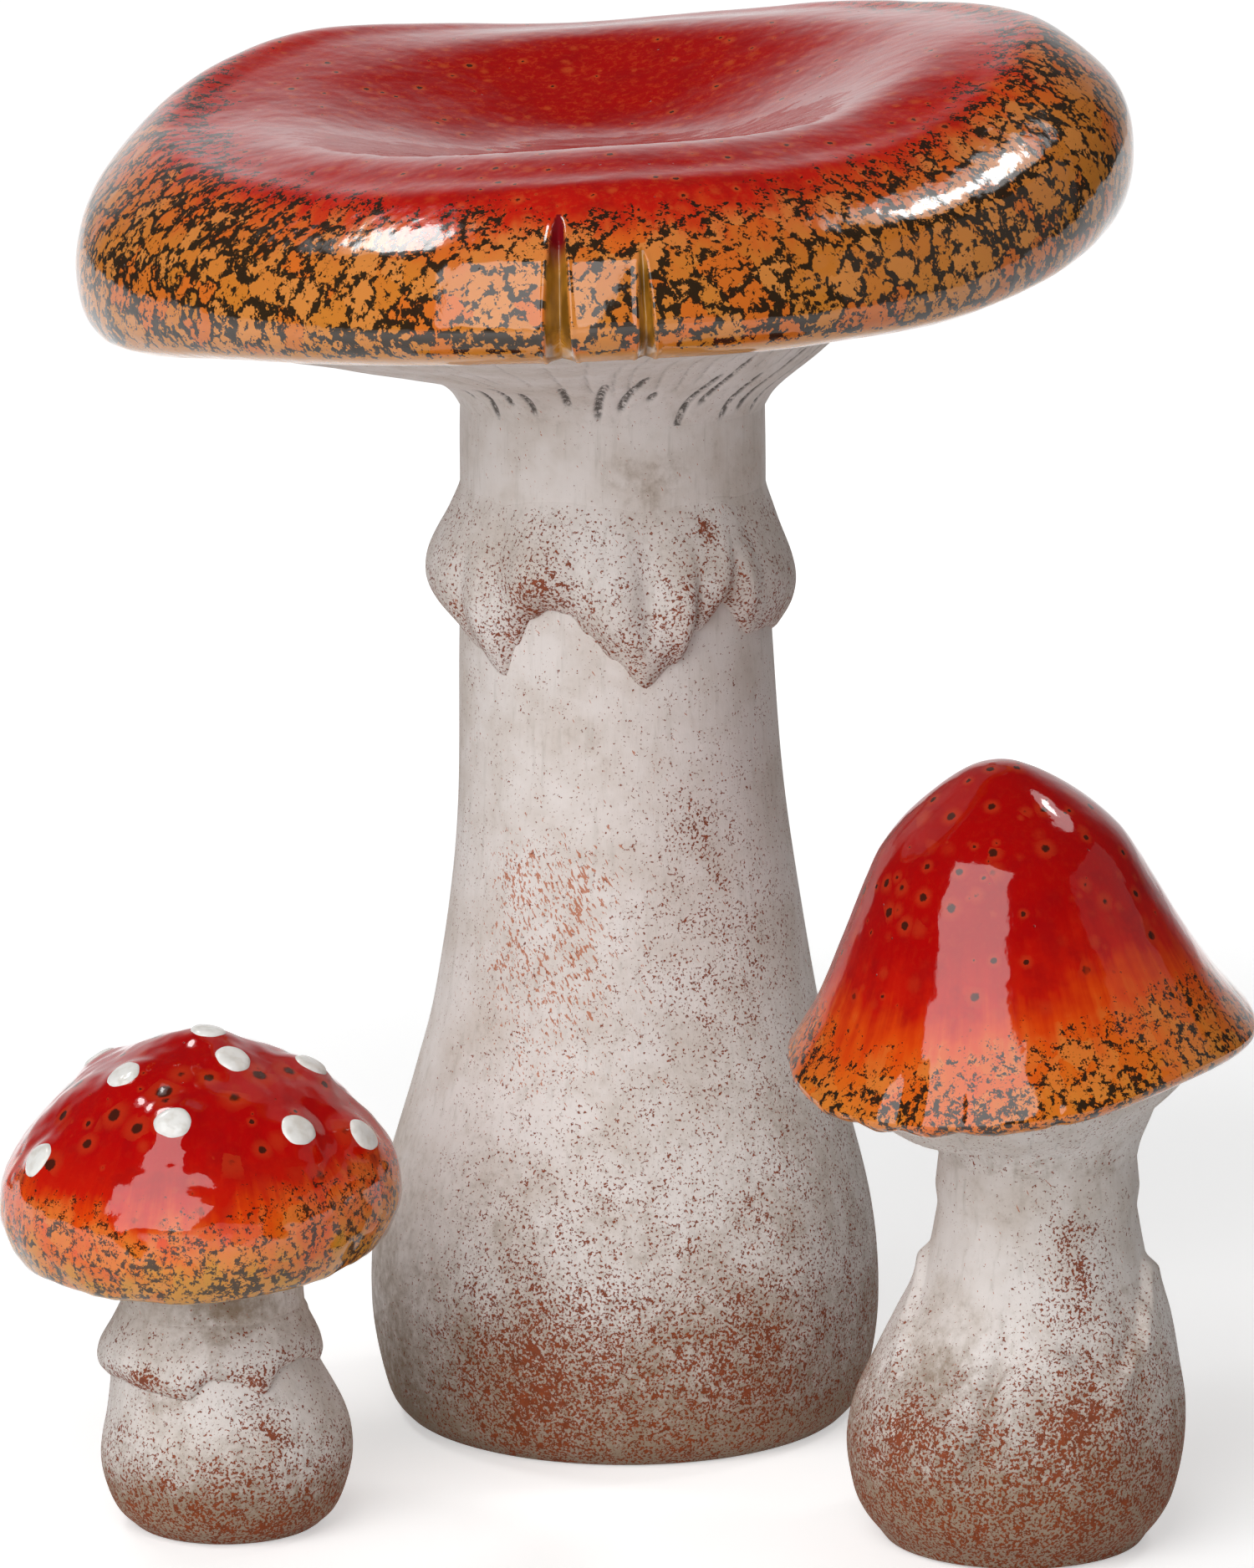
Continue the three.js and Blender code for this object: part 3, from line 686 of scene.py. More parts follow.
def spotGroup():
    # iron spots in the red glaze: a dark core with an orange halo
    group, given, result = startGroup(
        "iron spots", [("Place", "Vector"), ("Spacing", "Float"), ("Share", "Float"), ("Size", "Float")],
        [("Core", "Float"), ("Halo", "Float")])
    place = given["Place"]
    ragged = addNode(group, "TexNoise", {"Vector": place, "Scale": 0.9, "Detail": 1.0})
    moved = vectorWork(group, "MULTIPLY_ADD", ragged.outputs["Color"], (0.9, 0.9, 0.9), place)
    scaled = addNode(group, "VectorMath", {0: moved, 3: work(group, "DIVIDE", 1.0, given["Spacing"])},
                     operation="SCALE").outputs[0]
    cells = cellNode(group, scaled, 1.0)
    chosen = work(group, "LESS_THAN", chances(group, cells)[0], given["Share"])
    size = times(group, given["Size"], timesPlus(group, chances(group, cells)[1], 0.9, 0.35))
    reach = work(group, "DIVIDE", cells.outputs["Distance"], work(group, "DIVIDE", size, given["Spacing"]))
    for label, near, far in (("Core", 0.75, 1.1), ("Halo", 1.0, 2.9)):
        spot = times(group, chosen, fade(group, reach, near, far, 1.0, 0.0))
        group.links.new(spot, result[label])
    return group


def peelGroup():
    # the skin of a thick glaze: orange peel, and pinholes half a millimetre wide
    group, given, result = startGroup(
        "glaze skin", [("Place", "Vector")], [("Height", "Float"), ("Pinhole", "Float")])
    place = given["Place"]
    small = times(group, grain(group, place, 1.9, 2.0), 0.13)
    waves = work(group, "ADD", grain(group, place, 7.5, 1.0), small)
    cells = cellNode(group, place, 0.16)
    chosen = work(group, "LESS_THAN", chances(group, cells)[2], 0.32)
    hole = times(group, chosen, fade(group, cells.outputs["Distance"], 0.03, 0.075, 1.0, 0.0))
    group.links.new(timesPlus(group, hole, -0.6, waves), result["Height"])
    group.links.new(hole, result["Pinhole"])
    return group


def rustGroup(look):
    # terracotta that shows through the whitewash, in specks and in larger worn flecks
    group, given, result = startGroup(
        "worn whitewash", [("Place", "Vector"), ("Wear", "Float")],
        [("Specks", "Float"), ("Flecks", "Float"), ("Tone", "Float")])
    place = given["Place"]
    wear = timesPlus(group, centred(group, grain(group, place, 9, 3.0, 0.6)), 0.9, given["Wear"])
    for label, kind in look.items():
        level = timesPlus(group, wear, kind["wear"], grain(group, place, *kind["grain"]))
        group.links.new(fade(group, level, *kind["from"]), result[label])
    group.links.new(grain(group, place, 2.0, 2.0), result["Tone"])
    return group


spongeMarks = {
    "torn": 5.0, "wideCells": 0.125, "closeCells": 0.31, "wideEdges": 0.21, "closeEdges": 0.12,
    "patches": 0.34, "blackFrom": (1.375, 1.415), "dotsFrom": (1.29, 1.32),
}
bareClay = {
    "Specks": {"wear": 0.215, "grain": (0.9, 3.0, 0.6), "from": (0.7, 0.72)},
    "Flecks": {"wear": 0.21, "grain": (2.6, 4.0, 0.68), "from": (0.765, 0.78)},
}
sponge = spongeGroup(spongeMarks)
ironSpots = spotGroup()
glazeSkin = peelGroup()
wornWash = rustGroup(bareClay)


def glazeMaterial(name, look):
    material, tree = startMaterial(name)
    place = millimetres(tree, look["shift"])
    run, speckled, rim, split = (ownValue(tree, label) for label in ("run", "speckled", "rim", "split"))
    flow = addNode(tree, "Attribute", attribute_name="flow").outputs["Vector"]
    around, along = look["streaks"]
    streak = grain(tree, vectorWork(tree, "MULTIPLY", flow, (around, around, along)), 1.0, 3.0, 0.6)
    cloud = grain(tree, place, look["cloudSize"], 3.0, 0.6)
    wander = times(tree, centred(tree, streak), look["streakLength"])
    wander = timesPlus(tree, centred(tree, cloud), look["cloudDepth"], wander)
    drip = work(tree, "ADD", run, wander)

    # red in the crown, running out through orange to ochre
    first, last = look["colours"][0][0], look["colours"][-1][0]
    share = addNode(tree, "MapRange", {"Value": drip, "From Min": first, "From Max": last}).outputs[0]
    ramp = addNode(tree, "ValToRGB", {"Fac": share})
    stops = ramp.color_ramp.elements
    while len(stops) < len(look["colours"]):
        stops.new(0.5)
    for stop, (level, colour) in zip(stops, look["colours"]):
        stop.position = (level - first) / (last - first)
        stop.color = paint(*colour)
    colour = ramp.outputs["Color"]
    redness = fade(tree, drip, -6, 10, 1.0, 0.0)
    mottle = fade(tree, grain(tree, place, look["fleckSize"], 5.0, 0.75, 0.4), 0.47, 0.66)
    mottle = times(tree, times(tree, mottle, redness), look["flecks"])
    colour = cover(tree, colour, mottle, look["fleckColour"])
    deep = fade(tree, grain(tree, place, 13, 4.0, 0.65), 0.45, 0.7)
    deep = times(tree, times(tree, deep, redness), look["deepShow"])
    colour = cover(tree, colour, deep, look["deepColour"])
    spots = useGroup(tree, ironSpots, {"Place": place, **look["spots"]})
    aside = addNode(tree, "Mapping", {"Vector": place, "Location": (31, 17, 5)}).outputs[0]
    small = useGroup(tree, ironSpots, {"Place": aside, **look["smallSpots"]})
    halo = times(tree, work(tree, "MAXIMUM", spots["Halo"], small["Halo"]), redness)
    halo = times(tree, halo, look["halo"])
    core = times(tree, work(tree, "MAXIMUM", spots["Core"], small["Core"]), redness)
    colour = cover(tree, colour, halo, look["haloColour"])
    colour = cover(tree, colour, times(tree, core, look["spotShow"]), look["spotColour"])

    # sponge dabs towards the rim
    start, full = look["sponge"]
    density = times(tree, fade(tree, work(tree, "ADD", speckled, wander), start, full),
                   fade(tree, rim, *look["plainRim"]))
    closer = addNode(tree, "Mapping", {"Vector": place, "Scale": (look["dabScale"],) * 3}).outputs[0]
    dabs = useGroup(tree, sponge, {"Place": closer, "Density": density, "Cells": look["cells"]})
    dabbed = times(tree, work(tree, "SUBTRACT", 1.0, redness), fade(tree, density, 0.0, 0.7))
    dabbed = times(tree, dabbed, look["dabShow"])
    pale = times(tree, dabbed, fade(tree, dabs["Tone"], *look["paleTones"]))
    colour = cover(tree, colour, pale, look["paleDab"])
    warm = times(tree, dabbed, fade(tree, dabs["Tone"], *look["warmTones"]))
    colour = cover(tree, colour, warm, look["warmDab"])
    plain, dabbedFully = look["plainRim"]
    wavering = timesPlus(tree, cloud, look["rimWaver"], rim)
    low = fade(tree, wavering, plain, dabbedFully + look["rimBlend"], 1.0, 0.0)
    colour = cover(tree, colour, low, look["rimColour"])
    present = fade(tree, density, 0.02, 0.12)
    black = times(tree, dabs["Black"], present)
    black = times(tree, black, look["blackShow"])
    colour = cover(tree, colour, black, look["blackDab"])

    # the splits: bare amber glaze with streaks along them
    amber = fade(tree, streak, 0.35, 0.65)
    inside = cover(tree, paint(*look["splitShade"]), amber, look["splitAmber"])
    inside = cover(tree, inside, fade(tree, rim, *look["splitTopFrom"]), look["splitTop"])
    colour = blendColour(tree, split, colour, inside)

    skin = useGroup(tree, glazeSkin, {"Place": place})
    pinhole = times(tree, skin["Pinhole"], look["pinholeShow"])
    colour = cover(tree, colour, pinhole, look["pinholeColour"])
    rough = timesPlus(tree, cloud, 0.05, look["roughness"] - 0.025)
    endMaterial(tree, colour, rough, skin["Height"], look)
    return material


def clayMaterial(name, look):
    material, tree = startMaterial(name)
    place = millimetres(tree, look["shift"])
    wear, dirtAndShade, carved = (ownValue(tree, label) for label in ("wear", "dirtAndShade", "carved"))
    cloud = grain(tree, place, look["cloudSize"], 4.0, 0.62)
    fine = grain(tree, place, look["fineSize"], 4.0, 0.7)
    brushed = addNode(tree, "Mapping", {"Vector": place, "Scale": look["brushed"]}).outputs[0]
    brush = grain(tree, brushed, look["brushSize"], 4.0, 0.65)
    colour = cover(tree, paint(*look["wash"]), fade(tree, cloud, 0.35, 0.68), look["washCloud"])
    brushMarks = fade(tree, brush, 0.5, 0.78, 0.0, 0.42)
    colour = cover(tree, colour, brushMarks, look["washBrush"])
    # grime together with painted shade: the wash goes darker at the foot, under the caps and hems and in
    # the creases of folds
    grimeAndShade = timesPlus(tree, centred(tree, fine), 1.3, dirtAndShade)
    grimeAndShade = timesPlus(tree, centred(tree, cloud), 0.8, grimeAndShade)
    grimeAndShade = times(tree, fade(tree, grimeAndShade, 0.05, 1.1), look["grimeAndShadeShow"])
    colour = cover(tree, colour, grimeAndShade, look["grimeAndShade"])
    worn = useGroup(tree, wornWash, {"Place": place, "Wear": wear})
    bare = work(tree, "MAXIMUM", worn["Specks"], worn["Flecks"])
    slanted = addNode(tree, "Mapping", {"Vector": place, "Rotation": (0, math.radians(look["slant"]), 0),
                                        "Scale": look["strokeSize"]}, vector_type="TEXTURE").outputs[0]
    strokes = grain(tree, slanted, 1.0, 2.0, 0.55)
    strokes = fade(tree, timesPlus(tree, ownValue(tree, "scoured"), 0.2, strokes), 0.7, 0.74)
    thin = fade(tree, wear, 0.5, 1.2, 0.0, 0.45)
    rust = cover(tree, paint(*look["rustDark"]), worn["Tone"], look["rust"])
    colour = cover(tree, colour, thin, look["thin"])
    colour = cover(tree, colour, times(tree, strokes, look["strokeShow"]), look["stroke"])
    colour = blendColour(tree, times(tree, bare, look["bareShow"]), colour, rust)
    # painted shade in the carved gill grooves, broken up by noise
    groovesShaded = times(tree, fade(tree, carved, 0.15, 0.75),
                     fade(tree, grain(tree, place, 1.8, 3.0, 0.7), 0.3, 0.55))
    colour = cover(tree, colour, times(tree, groovesShaded, look["grooveShadeShow"]), look["groove"])
    height = timesPlus(tree, brush, 0.5, times(tree, fine, 0.6))
    height = timesPlus(tree, bare, -0.8, height)
    rough = timesPlus(tree, fine, 0.2, look["roughness"])
    endMaterial(tree, colour, rough, height, look)
    return material


def enamelMaterial(name, look):
    material, tree = startMaterial(name)
    place = millimetres(tree)
    cloud = grain(tree, place, look["cloudSize"], 2.0)
    colour = cover(tree, paint(*look["white"]), fade(tree, cloud, 0.4, 0.75), look["shade"])
    endMaterial(tree, colour, look["roughness"], grain(tree, place, look["unevenSize"], 1.0), look)
    return material


glazeReds = [[-60, (172, 8, 6)], [-26, (182, 10, 8)], [-9, (198, 26, 10)], [0, (208, 62, 20)],
             [8, (210, 98, 34)], [18, (206, 118, 42)], [60, (202, 130, 42)]]
tallGlaze = {
    "shift": (0, 0, 0), "streaks": (26, 7), "streakLength": 26, "cloudSize": 16, "cloudDepth": 22,
    "colours": glazeReds, "flecks": 0.55, "fleckSize": 2.4, "fleckColour": (204, 66, 26),
    "deepColour": (156, 4, 10), "spots": {"Spacing": 6.5, "Share": 0.7, "Size": 0.95},
    "smallSpots": {"Spacing": 5.5, "Share": 0.3, "Size": 0.5},
    "halo": 0.6, "haloColour": (206, 84, 36), "sponge": (-14, 18), "plainRim": (7.5, 13.0),
    "rimWaver": 8, "rimBlend": 6, "paleTones": (0.35, 0.9), "warmTones": (0.32, 0.1),
    "paleDab": (220, 142, 72), "warmDab": (220, 100, 30), "rimColour": (212, 140, 36), "dabShow": 0.6,
    "dabScale": 0.88, "cells": 1.0, "blackDab": (30, 27, 18), "blackShow": 0.97, "spotColour": (46, 24, 14),
    "splitShade": (120, 80, 22), "splitAmber": (202, 140, 44), "splitTop": (120, 14, 22),
    "splitTopFrom": (42, 56), "pinholeColour": (70, 35, 20), "pinholeShow": 0.6,
    "spotShow": 0.92, "deepShow": 0.55, "peel": 0.4, "peelDepth": 0.6, "roughness": 0.085,
    "gloss": {"IOR": 1.52},
}
mediumGlaze = {
    **tallGlaze, "shift": (57, 13, 41), "streaks": (15, 3), "streakLength": 22, "cloudSize": 14,
    "cloudDepth": 26,
    "colours": [[-60, (172, 2, 2)], [-18, (178, 3, 2)], [-3, (198, 22, 4)], [10, (222, 70, 8)],
                [24, (226, 104, 22)], [38, (218, 128, 40)], [60, (206, 140, 48)]],
    "flecks": 0.08, "spots": {"Spacing": 6.5, "Share": 0.75, "Size": 1.35}, "halo": 0.5,
    "haloColour": (196, 62, 26), "sponge": (2, 32), "plainRim": (1.5, 6.0), "paleDab": (226, 144, 66),
    "warmDab": (228, 98, 22), "rimColour": (200, 136, 46), "dabShow": 0.45, "dabScale": 1.15,
    "cells": 0.45, "peel": 0.3, "roughness": 0.06,
}
smallGlaze = {
    **mediumGlaze, "shift": (-43, 29, 83), "streaks": (14, 3), "streakLength": 18, "cloudSize": 13,
    "colours": [[-60, (174, 2, 3)], [-16, (186, 3, 3)], [-2, (202, 24, 3)], [9, (232, 74, 4)],
                [18, (230, 110, 14)], [26, (212, 142, 38)], [60, (206, 152, 52)]],
    "spots": {"Spacing": 8.5, "Share": 0.65, "Size": 2.2}, "sponge": (-10, 22), "plainRim": (0.0, 2.5),
    "rimColour": (190, 146, 50), "dabScale": 1.2, "blackShow": 0.92,
}
whitewash = {
    "shift": (0, 0, 0), "cloudSize": 24, "fineSize": 3.2, "brushSize": 2.6, "brushed": (1.0, 1.0, 0.12),
    "slant": -32, "strokeSize": (0.85, 0.85, 3.6), "strokeShow": 0.8, "bareShow": 0.94,
    "grimeAndShadeShow": 0.9, "grooveShadeShow": 0.85,
    "wash": (233, 226, 222), "washCloud": (216, 206, 198), "washBrush": (184, 176, 166),
    # grime is dirt together with painted shade, groove is painted shade in the carved gill grooves
    "grimeAndShade": (138, 116, 92), "rust": (164, 68, 12), "rustDark": (92, 36, 8),
    "stroke": (186, 98, 46), "thin": (184, 160, 138), "groove": (54, 48, 43),
    "peel": 0.55, "peelDepth": 0.4, "roughness": 0.66, "gloss": {"IOR": 1.45, "Specular IOR Level": 0.25},
}
enamel = {
    "white": (243, 242, 238), "shade": (226, 222, 214), "cloudSize": 3.5, "unevenSize": 2.4,
    "peel": 0.35, "peelDepth": 0.5, "roughness": 0.16, "gloss": {"IOR": 1.5},
}
tallRed, mediumRed, smallRed = (glazeMaterial(label, look) for label, look in (
    ("tall cap glaze", tallGlaze), ("medium cap glaze", mediumGlaze), ("small cap glaze", smallGlaze)))
washedClay = clayMaterial("whitewashed clay", whitewash)
whiteEnamel = enamelMaterial("white enamel", enamel)
print("materials made")


# Tall mushroom

tallCap = {
    "steps": 360, "rings": 130, "innerRings": 24, "lumps": 0.5, "lumpSize": 42, "sunk": 0.45,
    "glazeLine": [0.62, 0.62, 0.8, 0.7, 0.64, 0.67, 0.72, 0.66],
    "speckLine": [0.58, 0.58, 0.8, 0.68, 0.56, 0.62, 0.71, 0.64],
    "splits": [{"angle": -94.2, "width": 9, "depth": 5.5, "start": 0.69, "lip": 0.35},
               {"angle": -85.2, "width": 5.5, "depth": 3.5, "start": 0.77, "lip": 0.3}],
}
tallGills = {
    "steps": 480, "rings": 60, "groove": 1.5, "wear": 0.05, "dirtAndShade": 0.1,
    "tuck": [9, 6, 5, 5, 4, 3, 4, 9],
    "strokes": [
        {"count": 36, "turn": 3, "from": 1.5, "to": 26, "ragged": 5, "lean": 0.6, "wide": 1.3, "deep": 1},
        {"count": 60, "turn": 0, "from": 20, "to": 80, "ragged": 9, "lean": 0.12, "wide": 1.1, "deep": 0.4},
    ],
}
tallStem = {
    "steps": 360, "rings": 150, "lumps": 0.9, "lumpSize": 34,
    "presses": [[-100, 120, 14, 40, 0.8], [-60, 60, 12, 30, -0.7], [-130, 50, 14, 26, 0.6]],
    "wear": ([0, 12, 45, 80, 120, 220, 300, 330], [0.72, 0.74, 0.64, 0.5, 0.36, 0.25, 0.05, 0.0]),
    "worn": [[-112, 30, 18, 28, 0.4], [-62, 36, 18, 24, 0.26], [-162, 60, 24, 70, -0.5],
             [-64, 196, 9, 10, 0.35], [-52, 160, 30, 60, 0.25]],
    "scoured": [[-128, 180, 12, 13, 0.85], [-105, 178, 13, 14, 0.85], [-130, 152, 12, 17, 0.7],
                [-106, 150, 14, 18, 0.75], [-116, 122, 16, 16, 0.45]],
    # darker towards the foot: grime together with painted shade; the last smudge is painted shade under the
    # cap
    "dirtAndShade": ([0, 20, 60, 100, 140, 300, 330], [1.2, 0.8, 0.3, 0.08, 0.0, 0.0, 0.0]),
    "smearsAndShade": [[-128, 110, 14, 20, 0.1], [-50, 100, 16, 26, 0.2], [-76, 304, 16, 9, 0.32]],
}
tallSkirt = {
    "steps": 480, "rings": 48, "top": 0.94, "lip": 2.2, "lumps": 0.35, "lumpSize": 11,
    "hem": [[-180, 47], [-165, 49], [-149, 53], [-134.5, 59.5], [-128.5, 49.5], [-122, 41], [-114, 37.5],
            [-107, 38.5], [-100, 44.5], [-91, 52], [-80, 61], [-69, 54], [-59, 44.5], [-49, 37], [-33, 48],
            [-18, 48], [0, 51], [20, 55], [38, 43], [60, 58], [82, 45], [100, 54], [118, 40], [140, 55],
            [160, 44]],
    "fullness": [6, 6, 6, 6, 8.5, 5, 5, 5],
    "presses": [[-139.5, 262, 4, 16, 1.1], [-130, 264, 4, 16, -1.2], [-118, 272, 8, 13, 2.4],
                [-103, 264, 5, 18, -1.7], [-87, 262, 6, 14, 1.5], [-79, 268, 4, 16, -1.6],
                [-67, 262, 5, 20, 2.6], [-61.5, 258, 1.8, 14, -3.4], [-52, 262, 4, 16, 1.8],
                [-47, 262, 2, 16, -1.6], [-41, 264, 4, 16, 1.6], [-150, 264, 4, 14, -1.6]],
    "wear": 0.48, "hemWear": 0.25,
    "worn": [[-118, 270, 15, 12, 0.24], [-68, 264, 6, 16, 0.26], [-56, 287, 3, 6, 0.45],
             [-50, 264, 6, 9, 0.24]],
    # the smudges are painted shade in the valleys between the folds
    "dirtAndShade": 0.05, "smearsAndShade": [[-103, 252, 5, 12, 0.25], [-79, 270, 4, 12, 0.25], [-61.5, 262, 2, 14, 0.4]],
}
cap = makeCap("cap_tall", tall, tallCap)
hand(cap, tall, tallRed, "tall_cap")
handClay(makeGills("gills_tall", tall, tallGills), tall, "tall_gills")
handClay(makeStem("stem_tall", tall, tallStem), tall, "tall_stem")
handClay(makeRing("skirt_tall", tall, tallSkirt), tall, "tall_skirt")


# Medium mushroom

mediumCap = {
    "steps": 300, "rings": 120, "innerRings": 24, "lumps": 0.35, "lumpSize": 26, "sunk": 0.35,
    "glazeLine": [0.64, 0.66, 0.66, 0.66, 0.68, 0.67, 0.65, 0.6],
    "speckLine": [0.62, 0.66, 0.66, 0.66, 0.66, 0.67, 0.64, 0.62],
    "flutes": [[-143, 2.2, 0.5, 0.2], [-133.5, 2.4, -0.7, 0.22], [-127, 2.2, 0.6, 0.26],
               [-120.5, 2.2, -0.9, 0.26], [-113.5, 2.4, 0.7, 0.28], [-106.5, 2.2, -0.9, 0.28],
               [-98, 3.4, 0.4, 0.24], [-84, 1.8, -0.7, 0.18]],
}
mediumGills = {
    "steps": 360, "rings": 44, "groove": 0.8, "wear": 0.35, "dirtAndShade": 0.3,
    "strokes": [
        {"count": 30, "turn": 3, "from": 6, "to": 26, "ragged": 3, "lean": 0.4, "wide": 0.8, "deep": 0.35},
    ],
}
mediumStem = {
    "steps": 360, "rings": 130, "lumps": 0.7, "lumpSize": 20,
    "sheath": {"lip": 3, "fade": 26, "edge": 5,
               "hem": [[-180, 86], [-160, 66], [-148, 52], [-128, 48], [-112, 42], [-101, 60], [-86, 66],
                       [-70, 60], [-57, 57], [-44, 64], [-32, 74], [-16, 84], [0, 82], [30, 60], [60, 46],
                       [90, 64], [120, 50], [150, 72]]},
    "presses": [[-37, 66, 8, 26, 0.3], [-47, 56, 5, 24, -0.3], [-58, 56, 6, 18, 0.9],
                [-106, 48, 4.5, 22, -2.6], [-118, 40, 10, 12, 1.2], [-150, 80, 10, 20, -0.8]],
    "wear": ([0, 12, 30, 55, 80, 110, 124], [0.86, 0.92, 0.88, 0.6, 0.3, 0.22, 0.2]),
    "worn": [[-132, 42, 13, 8, 0.42], [-72, 48, 13, 9, 0.4], [-74, 93, 16, 18, 0.52],
             [-58, 74, 34, 36, 0.18], [-130, 84, 24, 26, -0.3]],
    # darker towards the foot: grime together with painted shade; the smudges put painted shade in the
    # creases of the sheath
    "dirtAndShade": ([0, 10, 30, 60, 90, 124], [1.5, 1.25, 0.8, 0.3, 0.05, 0.1]),
    "smearsAndShade": [[-128, 58, 14, 8, 0.35], [-106, 52, 5, 14, 0.35], [-60, 64, 12, 7, 0.2],
               [-46, 60, 4, 20, 0.25]],
}
cap = makeCap("cap_medium", medium, mediumCap)
hand(cap, medium, mediumRed, "medium_cap")
handClay(makeGills("gills_medium", medium, mediumGills), medium, "medium_gills")
handClay(makeStem("stem_medium", medium, mediumStem), medium, "medium_stem")


# Small mushroom

# [angle, distance out as a share of the cap's radius], the last four at the back
dabPlaces = [[-54, 0.07], [-58, 0.33], [-138, 0.475], [-5, 0.55], [-99, 0.67], [-48, 0.76], [-152, 0.885],
             [-20, 0.875], [40, 0.83], [78, 0.57], [112, 0.87], [145, 0.63]]
smallCap = {
    "steps": 300, "rings": 110, "innerRings": 24, "lumps": 0.8, "lumpSize": 15, "sunk": 0.4,
    "glazeLine": [0.64, 0.66, 0.66, 0.66, 0.64, 0.68, 0.67, 0.66],
    "speckLine": [0.64, 0.66, 0.66, 0.66, 0.64, 0.68, 0.7, 0.66],
    "warts": [{"angle": angle, "out": out, "size": 7.6, "height": 1.2} for angle, out in dabPlaces],
}
smallGills = {
    "steps": 300, "rings": 36, "groove": 0.6, "wear": 0.5, "dirtAndShade": 0.5,
    "strokes": [
        {"count": 26, "turn": 3, "from": 5, "to": 22, "ragged": 3, "lean": 0.4, "wide": 0.8, "deep": 0.3},
    ],
}
smallStem = {
    "steps": 320, "rings": 100, "lumps": 0.6, "lumpSize": 16,
    "presses": [[-110, 30, 18, 14, 0.6], [-50, 26, 14, 10, -0.5]],
    "wear": ([0, 8, 20, 40, 60, 83], [0.92, 0.94, 0.76, 0.42, 0.22, 0.2]),
    "worn": [[-66, 38, 10, 8, 0.4]],
    # darker towards the foot and under the cap: grime together with painted shade; the first two smudges
    # are painted shade under the skirt's hem
    "dirtAndShade": ([0, 8, 22, 40, 60, 83], [1.6, 1.3, 0.5, 0.05, 0.1, 0.5]),
    "smearsAndShade": [[-120, 44, 20, 4, 0.4], [-60, 44, 20, 4, 0.4], [-110, 14, 16, 8, 0.3],
               [-76, 72, 26, 6, 0.6]],
}
smallSkirt = {
    "steps": 400, "rings": 36, "top": 0.92, "lip": 1.5, "lumps": 0.35, "lumpSize": 7,
    "hem": [[-180, 24], [-146, 22], [-121, 23], [-104, 24], [-88, 18], [-75, 19], [-62, 23], [-45, 17],
            [-29, 16], [0, 20], [40, 24], [75, 19], [110, 25], [145, 20]],
    "fullness": [2, 2.5, 3.5, 3.5, 3.5, 3, 3, 2],
    "presses": [[-140, 56, 8, 6, 0.6], [-120, 54, 6, 6, -0.5], [-100, 54, 6, 6, 0.5],
                [-72, 56, 7, 7, -0.7]],
    "wear": 0.4, "hemWear": 0.3,
    "worn": [[-126, 51, 14, 4, 0.42], [-64, 54, 10, 6, 0.32]],
    # the smudges are painted shade under the cap and in a crease of the folds
    "dirtAndShade": 0.15, "smearsAndShade": [[-80, 66, 30, 5, 0.5], [-85, 54, 6, 8, 0.4]],
}
dab = {
    "steps": 40, "rings": 16, "radius": 5.5, "height": 1.0, "wobble": [[2, 0.05], [3, 0.03], [7, 0.012]],
    "outline": [[0, 1], [0.45, 0.98], [0.78, 0.8], [0.96, 0.35], [1, -0.1], [0.9, -0.5]],
}
cap = makeCap("cap_small", small, smallCap)
hand(cap, small, smallRed, "small_cap")
handClay(makeGills("gills_small", small, smallGills), small, "small_gills")
handClay(makeStem("stem_small", small, smallStem), small, "small_stem")
handClay(makeRing("skirt_small", small, smallSkirt), small, "small_skirt")
for number, (angle, out) in enumerate(dabPlaces, 1):
    made = makeDab(f"dab_{number:02d}", small, cap, out, angle, dab)
    hand(made, small, whiteEnamel, f"small_spot_{number:02d}")


# Floor, light and camera, in metres

studio = {
    "aim": 0.3, "floorSize": 40, "floorColour": 0.85, "nearGlow": 0.47, "farGlow": 0.95,
    "glowFrom": (0.3, 1.5), "backWall": 0.88, "frontWall": 0.05, "ceiling": 0.05,
    "wallEdge": (0.7, 1.0), "wallTop": (0.25, 0.75),
}
# turn: degrees to the right of the camera, rise: degrees above the floor, both seen from the set
softboxes = [
    {"name": "key softbox", "turn": -28, "rise": 33, "away": 3, "wide": 2.6, "tall": 2.9, "power": 79},
    {"name": "right fill", "turn": 88, "rise": 18, "away": 3, "wide": 2.4, "tall": 2, "power": 3.2},
    {"name": "low fill", "turn": 4, "rise": 4, "away": 3, "wide": 4, "tall": 0.9, "power": 8},
    {"name": "left lamp", "turn": -117, "rise": 54, "away": 1.7, "round": 0.4, "power": 4.4},
    {"name": "left lamp's glow", "turn": -117, "rise": 54, "away": 1.75, "round": 0.6, "power": 0.9},
    {"name": "right lamp", "turn": 112, "rise": 52, "away": 1.7, "round": 0.18, "power": 1.5},
    {"name": "right lamp's glow", "turn": 112, "rise": 52, "away": 1.75, "round": 0.5, "power": 1.8},
]


def floorMaterial(look):
    material, tree = startMaterial("pale studio floor")
    level = look["floorColour"]
    plain = addNode(tree, "BsdfDiffuse", {"Color": (level, level, level, 1)})
    path = addNode(tree, "LightPath").outputs
    seen = work(tree, "MAXIMUM", path["Is Camera Ray"], path["Is Glossy Ray"])
    seen = work(tree, "MAXIMUM", seen, path["Is Transmission Ray"])
    away = addNode(tree, "VectorMath", {0: addNode(tree, "TexCoord").outputs["Object"]},
                   operation="LENGTH").outputs["Value"]
    strength = fade(tree, away, *look["glowFrom"], look["nearGlow"], look["farGlow"])
    strength = times(tree, seen, strength)
    glow = addNode(tree, "Emission", {"Color": (1, 1, 1, 1), "Strength": strength})
    both = addNode(tree, "AddShader", {0: plain.outputs[0], 1: glow.outputs[0]})
    addNode(tree, "OutputMaterial", {"Surface": both.outputs[0]})
    return material


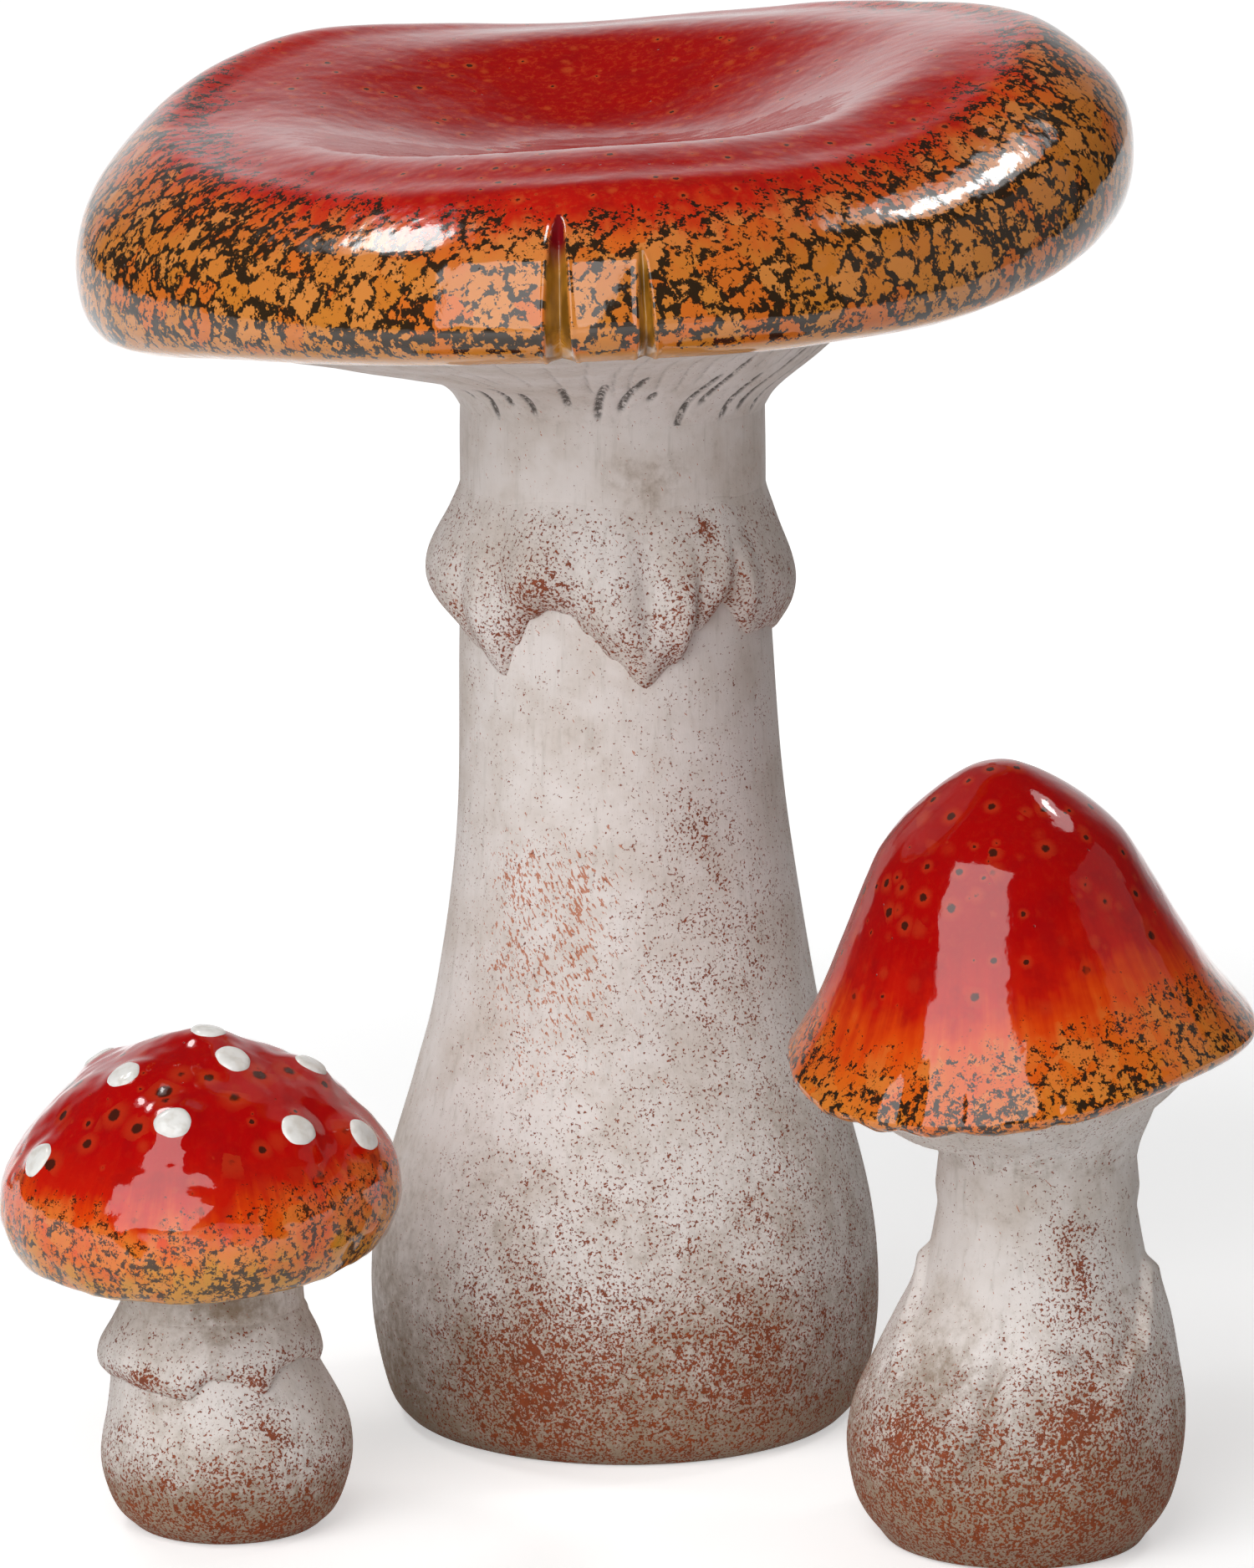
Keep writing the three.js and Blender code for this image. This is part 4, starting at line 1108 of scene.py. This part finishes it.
def studioWorld(look):
    # a white wall behind the set in an otherwise dark room
    world = bpy.data.worlds.new("studio")
    bpy.context.scene.world = world
    world.use_nodes = True
    tree = world.node_tree
    tree.nodes.clear()
    direction = addNode(tree, "TexCoord").outputs["Generated"]
    way = addNode(tree, "SeparateXYZ", {0: direction}).outputs
    flat = vectorWork(tree, "NORMALIZE", vectorWork(tree, "MULTIPLY", direction, (1, 1, 0)))
    behind = addNode(tree, "SeparateXYZ", {0: flat}).outputs["Y"]
    wall = fade(tree, behind, *look["wallEdge"], look["frontWall"], look["backWall"])
    over = fade(tree, way["Z"], *look["wallTop"])
    level = addNode(tree, "Mix", {0: over, 2: wall, 3: look["ceiling"]}).outputs[0]
    lit = addNode(tree, "Background", {"Color": (1, 1, 1, 1), "Strength": level})
    addNode(tree, "OutputWorld", {"Surface": lit.outputs[0]})


def hangSoftbox(look):
    light = bpy.data.lights.new(look["name"], "AREA")
    light.shape = "ELLIPSE" if "round" in look else "RECTANGLE"
    light.size, light.size_y = look.get("wide", look.get("round")), look.get("tall", look.get("round"))
    light.energy = look["power"]
    lamp = bpy.data.objects.new(look["name"], light)
    bpy.context.collection.objects.link(lamp)
    turned, raised = math.radians(look["turn"]), math.radians(look["rise"])
    aim = Vector((0, 0, studio["aim"]))
    lamp.location = aim + look["away"] * Vector((math.sin(turned) * math.cos(raised),
                                                 -math.cos(turned) * math.cos(raised), math.sin(raised)))
    lamp.rotation_euler = (aim - lamp.location).to_track_quat("-Z", "Y").to_euler()


deselectAll()
bpy.ops.mesh.primitive_plane_add(size=studio["floorSize"])
ground = bpy.context.object
ground.name = "studio_floor"
ground.data.materials.append(floorMaterial(studio))
studioWorld(studio)
for softbox in softboxes:
    hangSoftbox(softbox)

photoCamera = {"lens": 173.4, "sensor": 36, "place": (0.0005, -2.278, 0.681), "tiltDown": 11.81}
lens = bpy.data.cameras.new("photo camera")
lens.lens, lens.sensor_width = photoCamera["lens"], photoCamera["sensor"]
lens.clip_end = studio["floorSize"] * 1.5
camera = bpy.data.objects.new("photo camera", lens)
bpy.context.collection.objects.link(camera)
camera.location = photoCamera["place"]
camera.rotation_euler = (math.radians(90 - photoCamera["tiltDown"]), 0, 0)
bpy.context.scene.camera = camera
bpy.context.scene.view_settings.view_transform = "Standard"
print("studio ready")
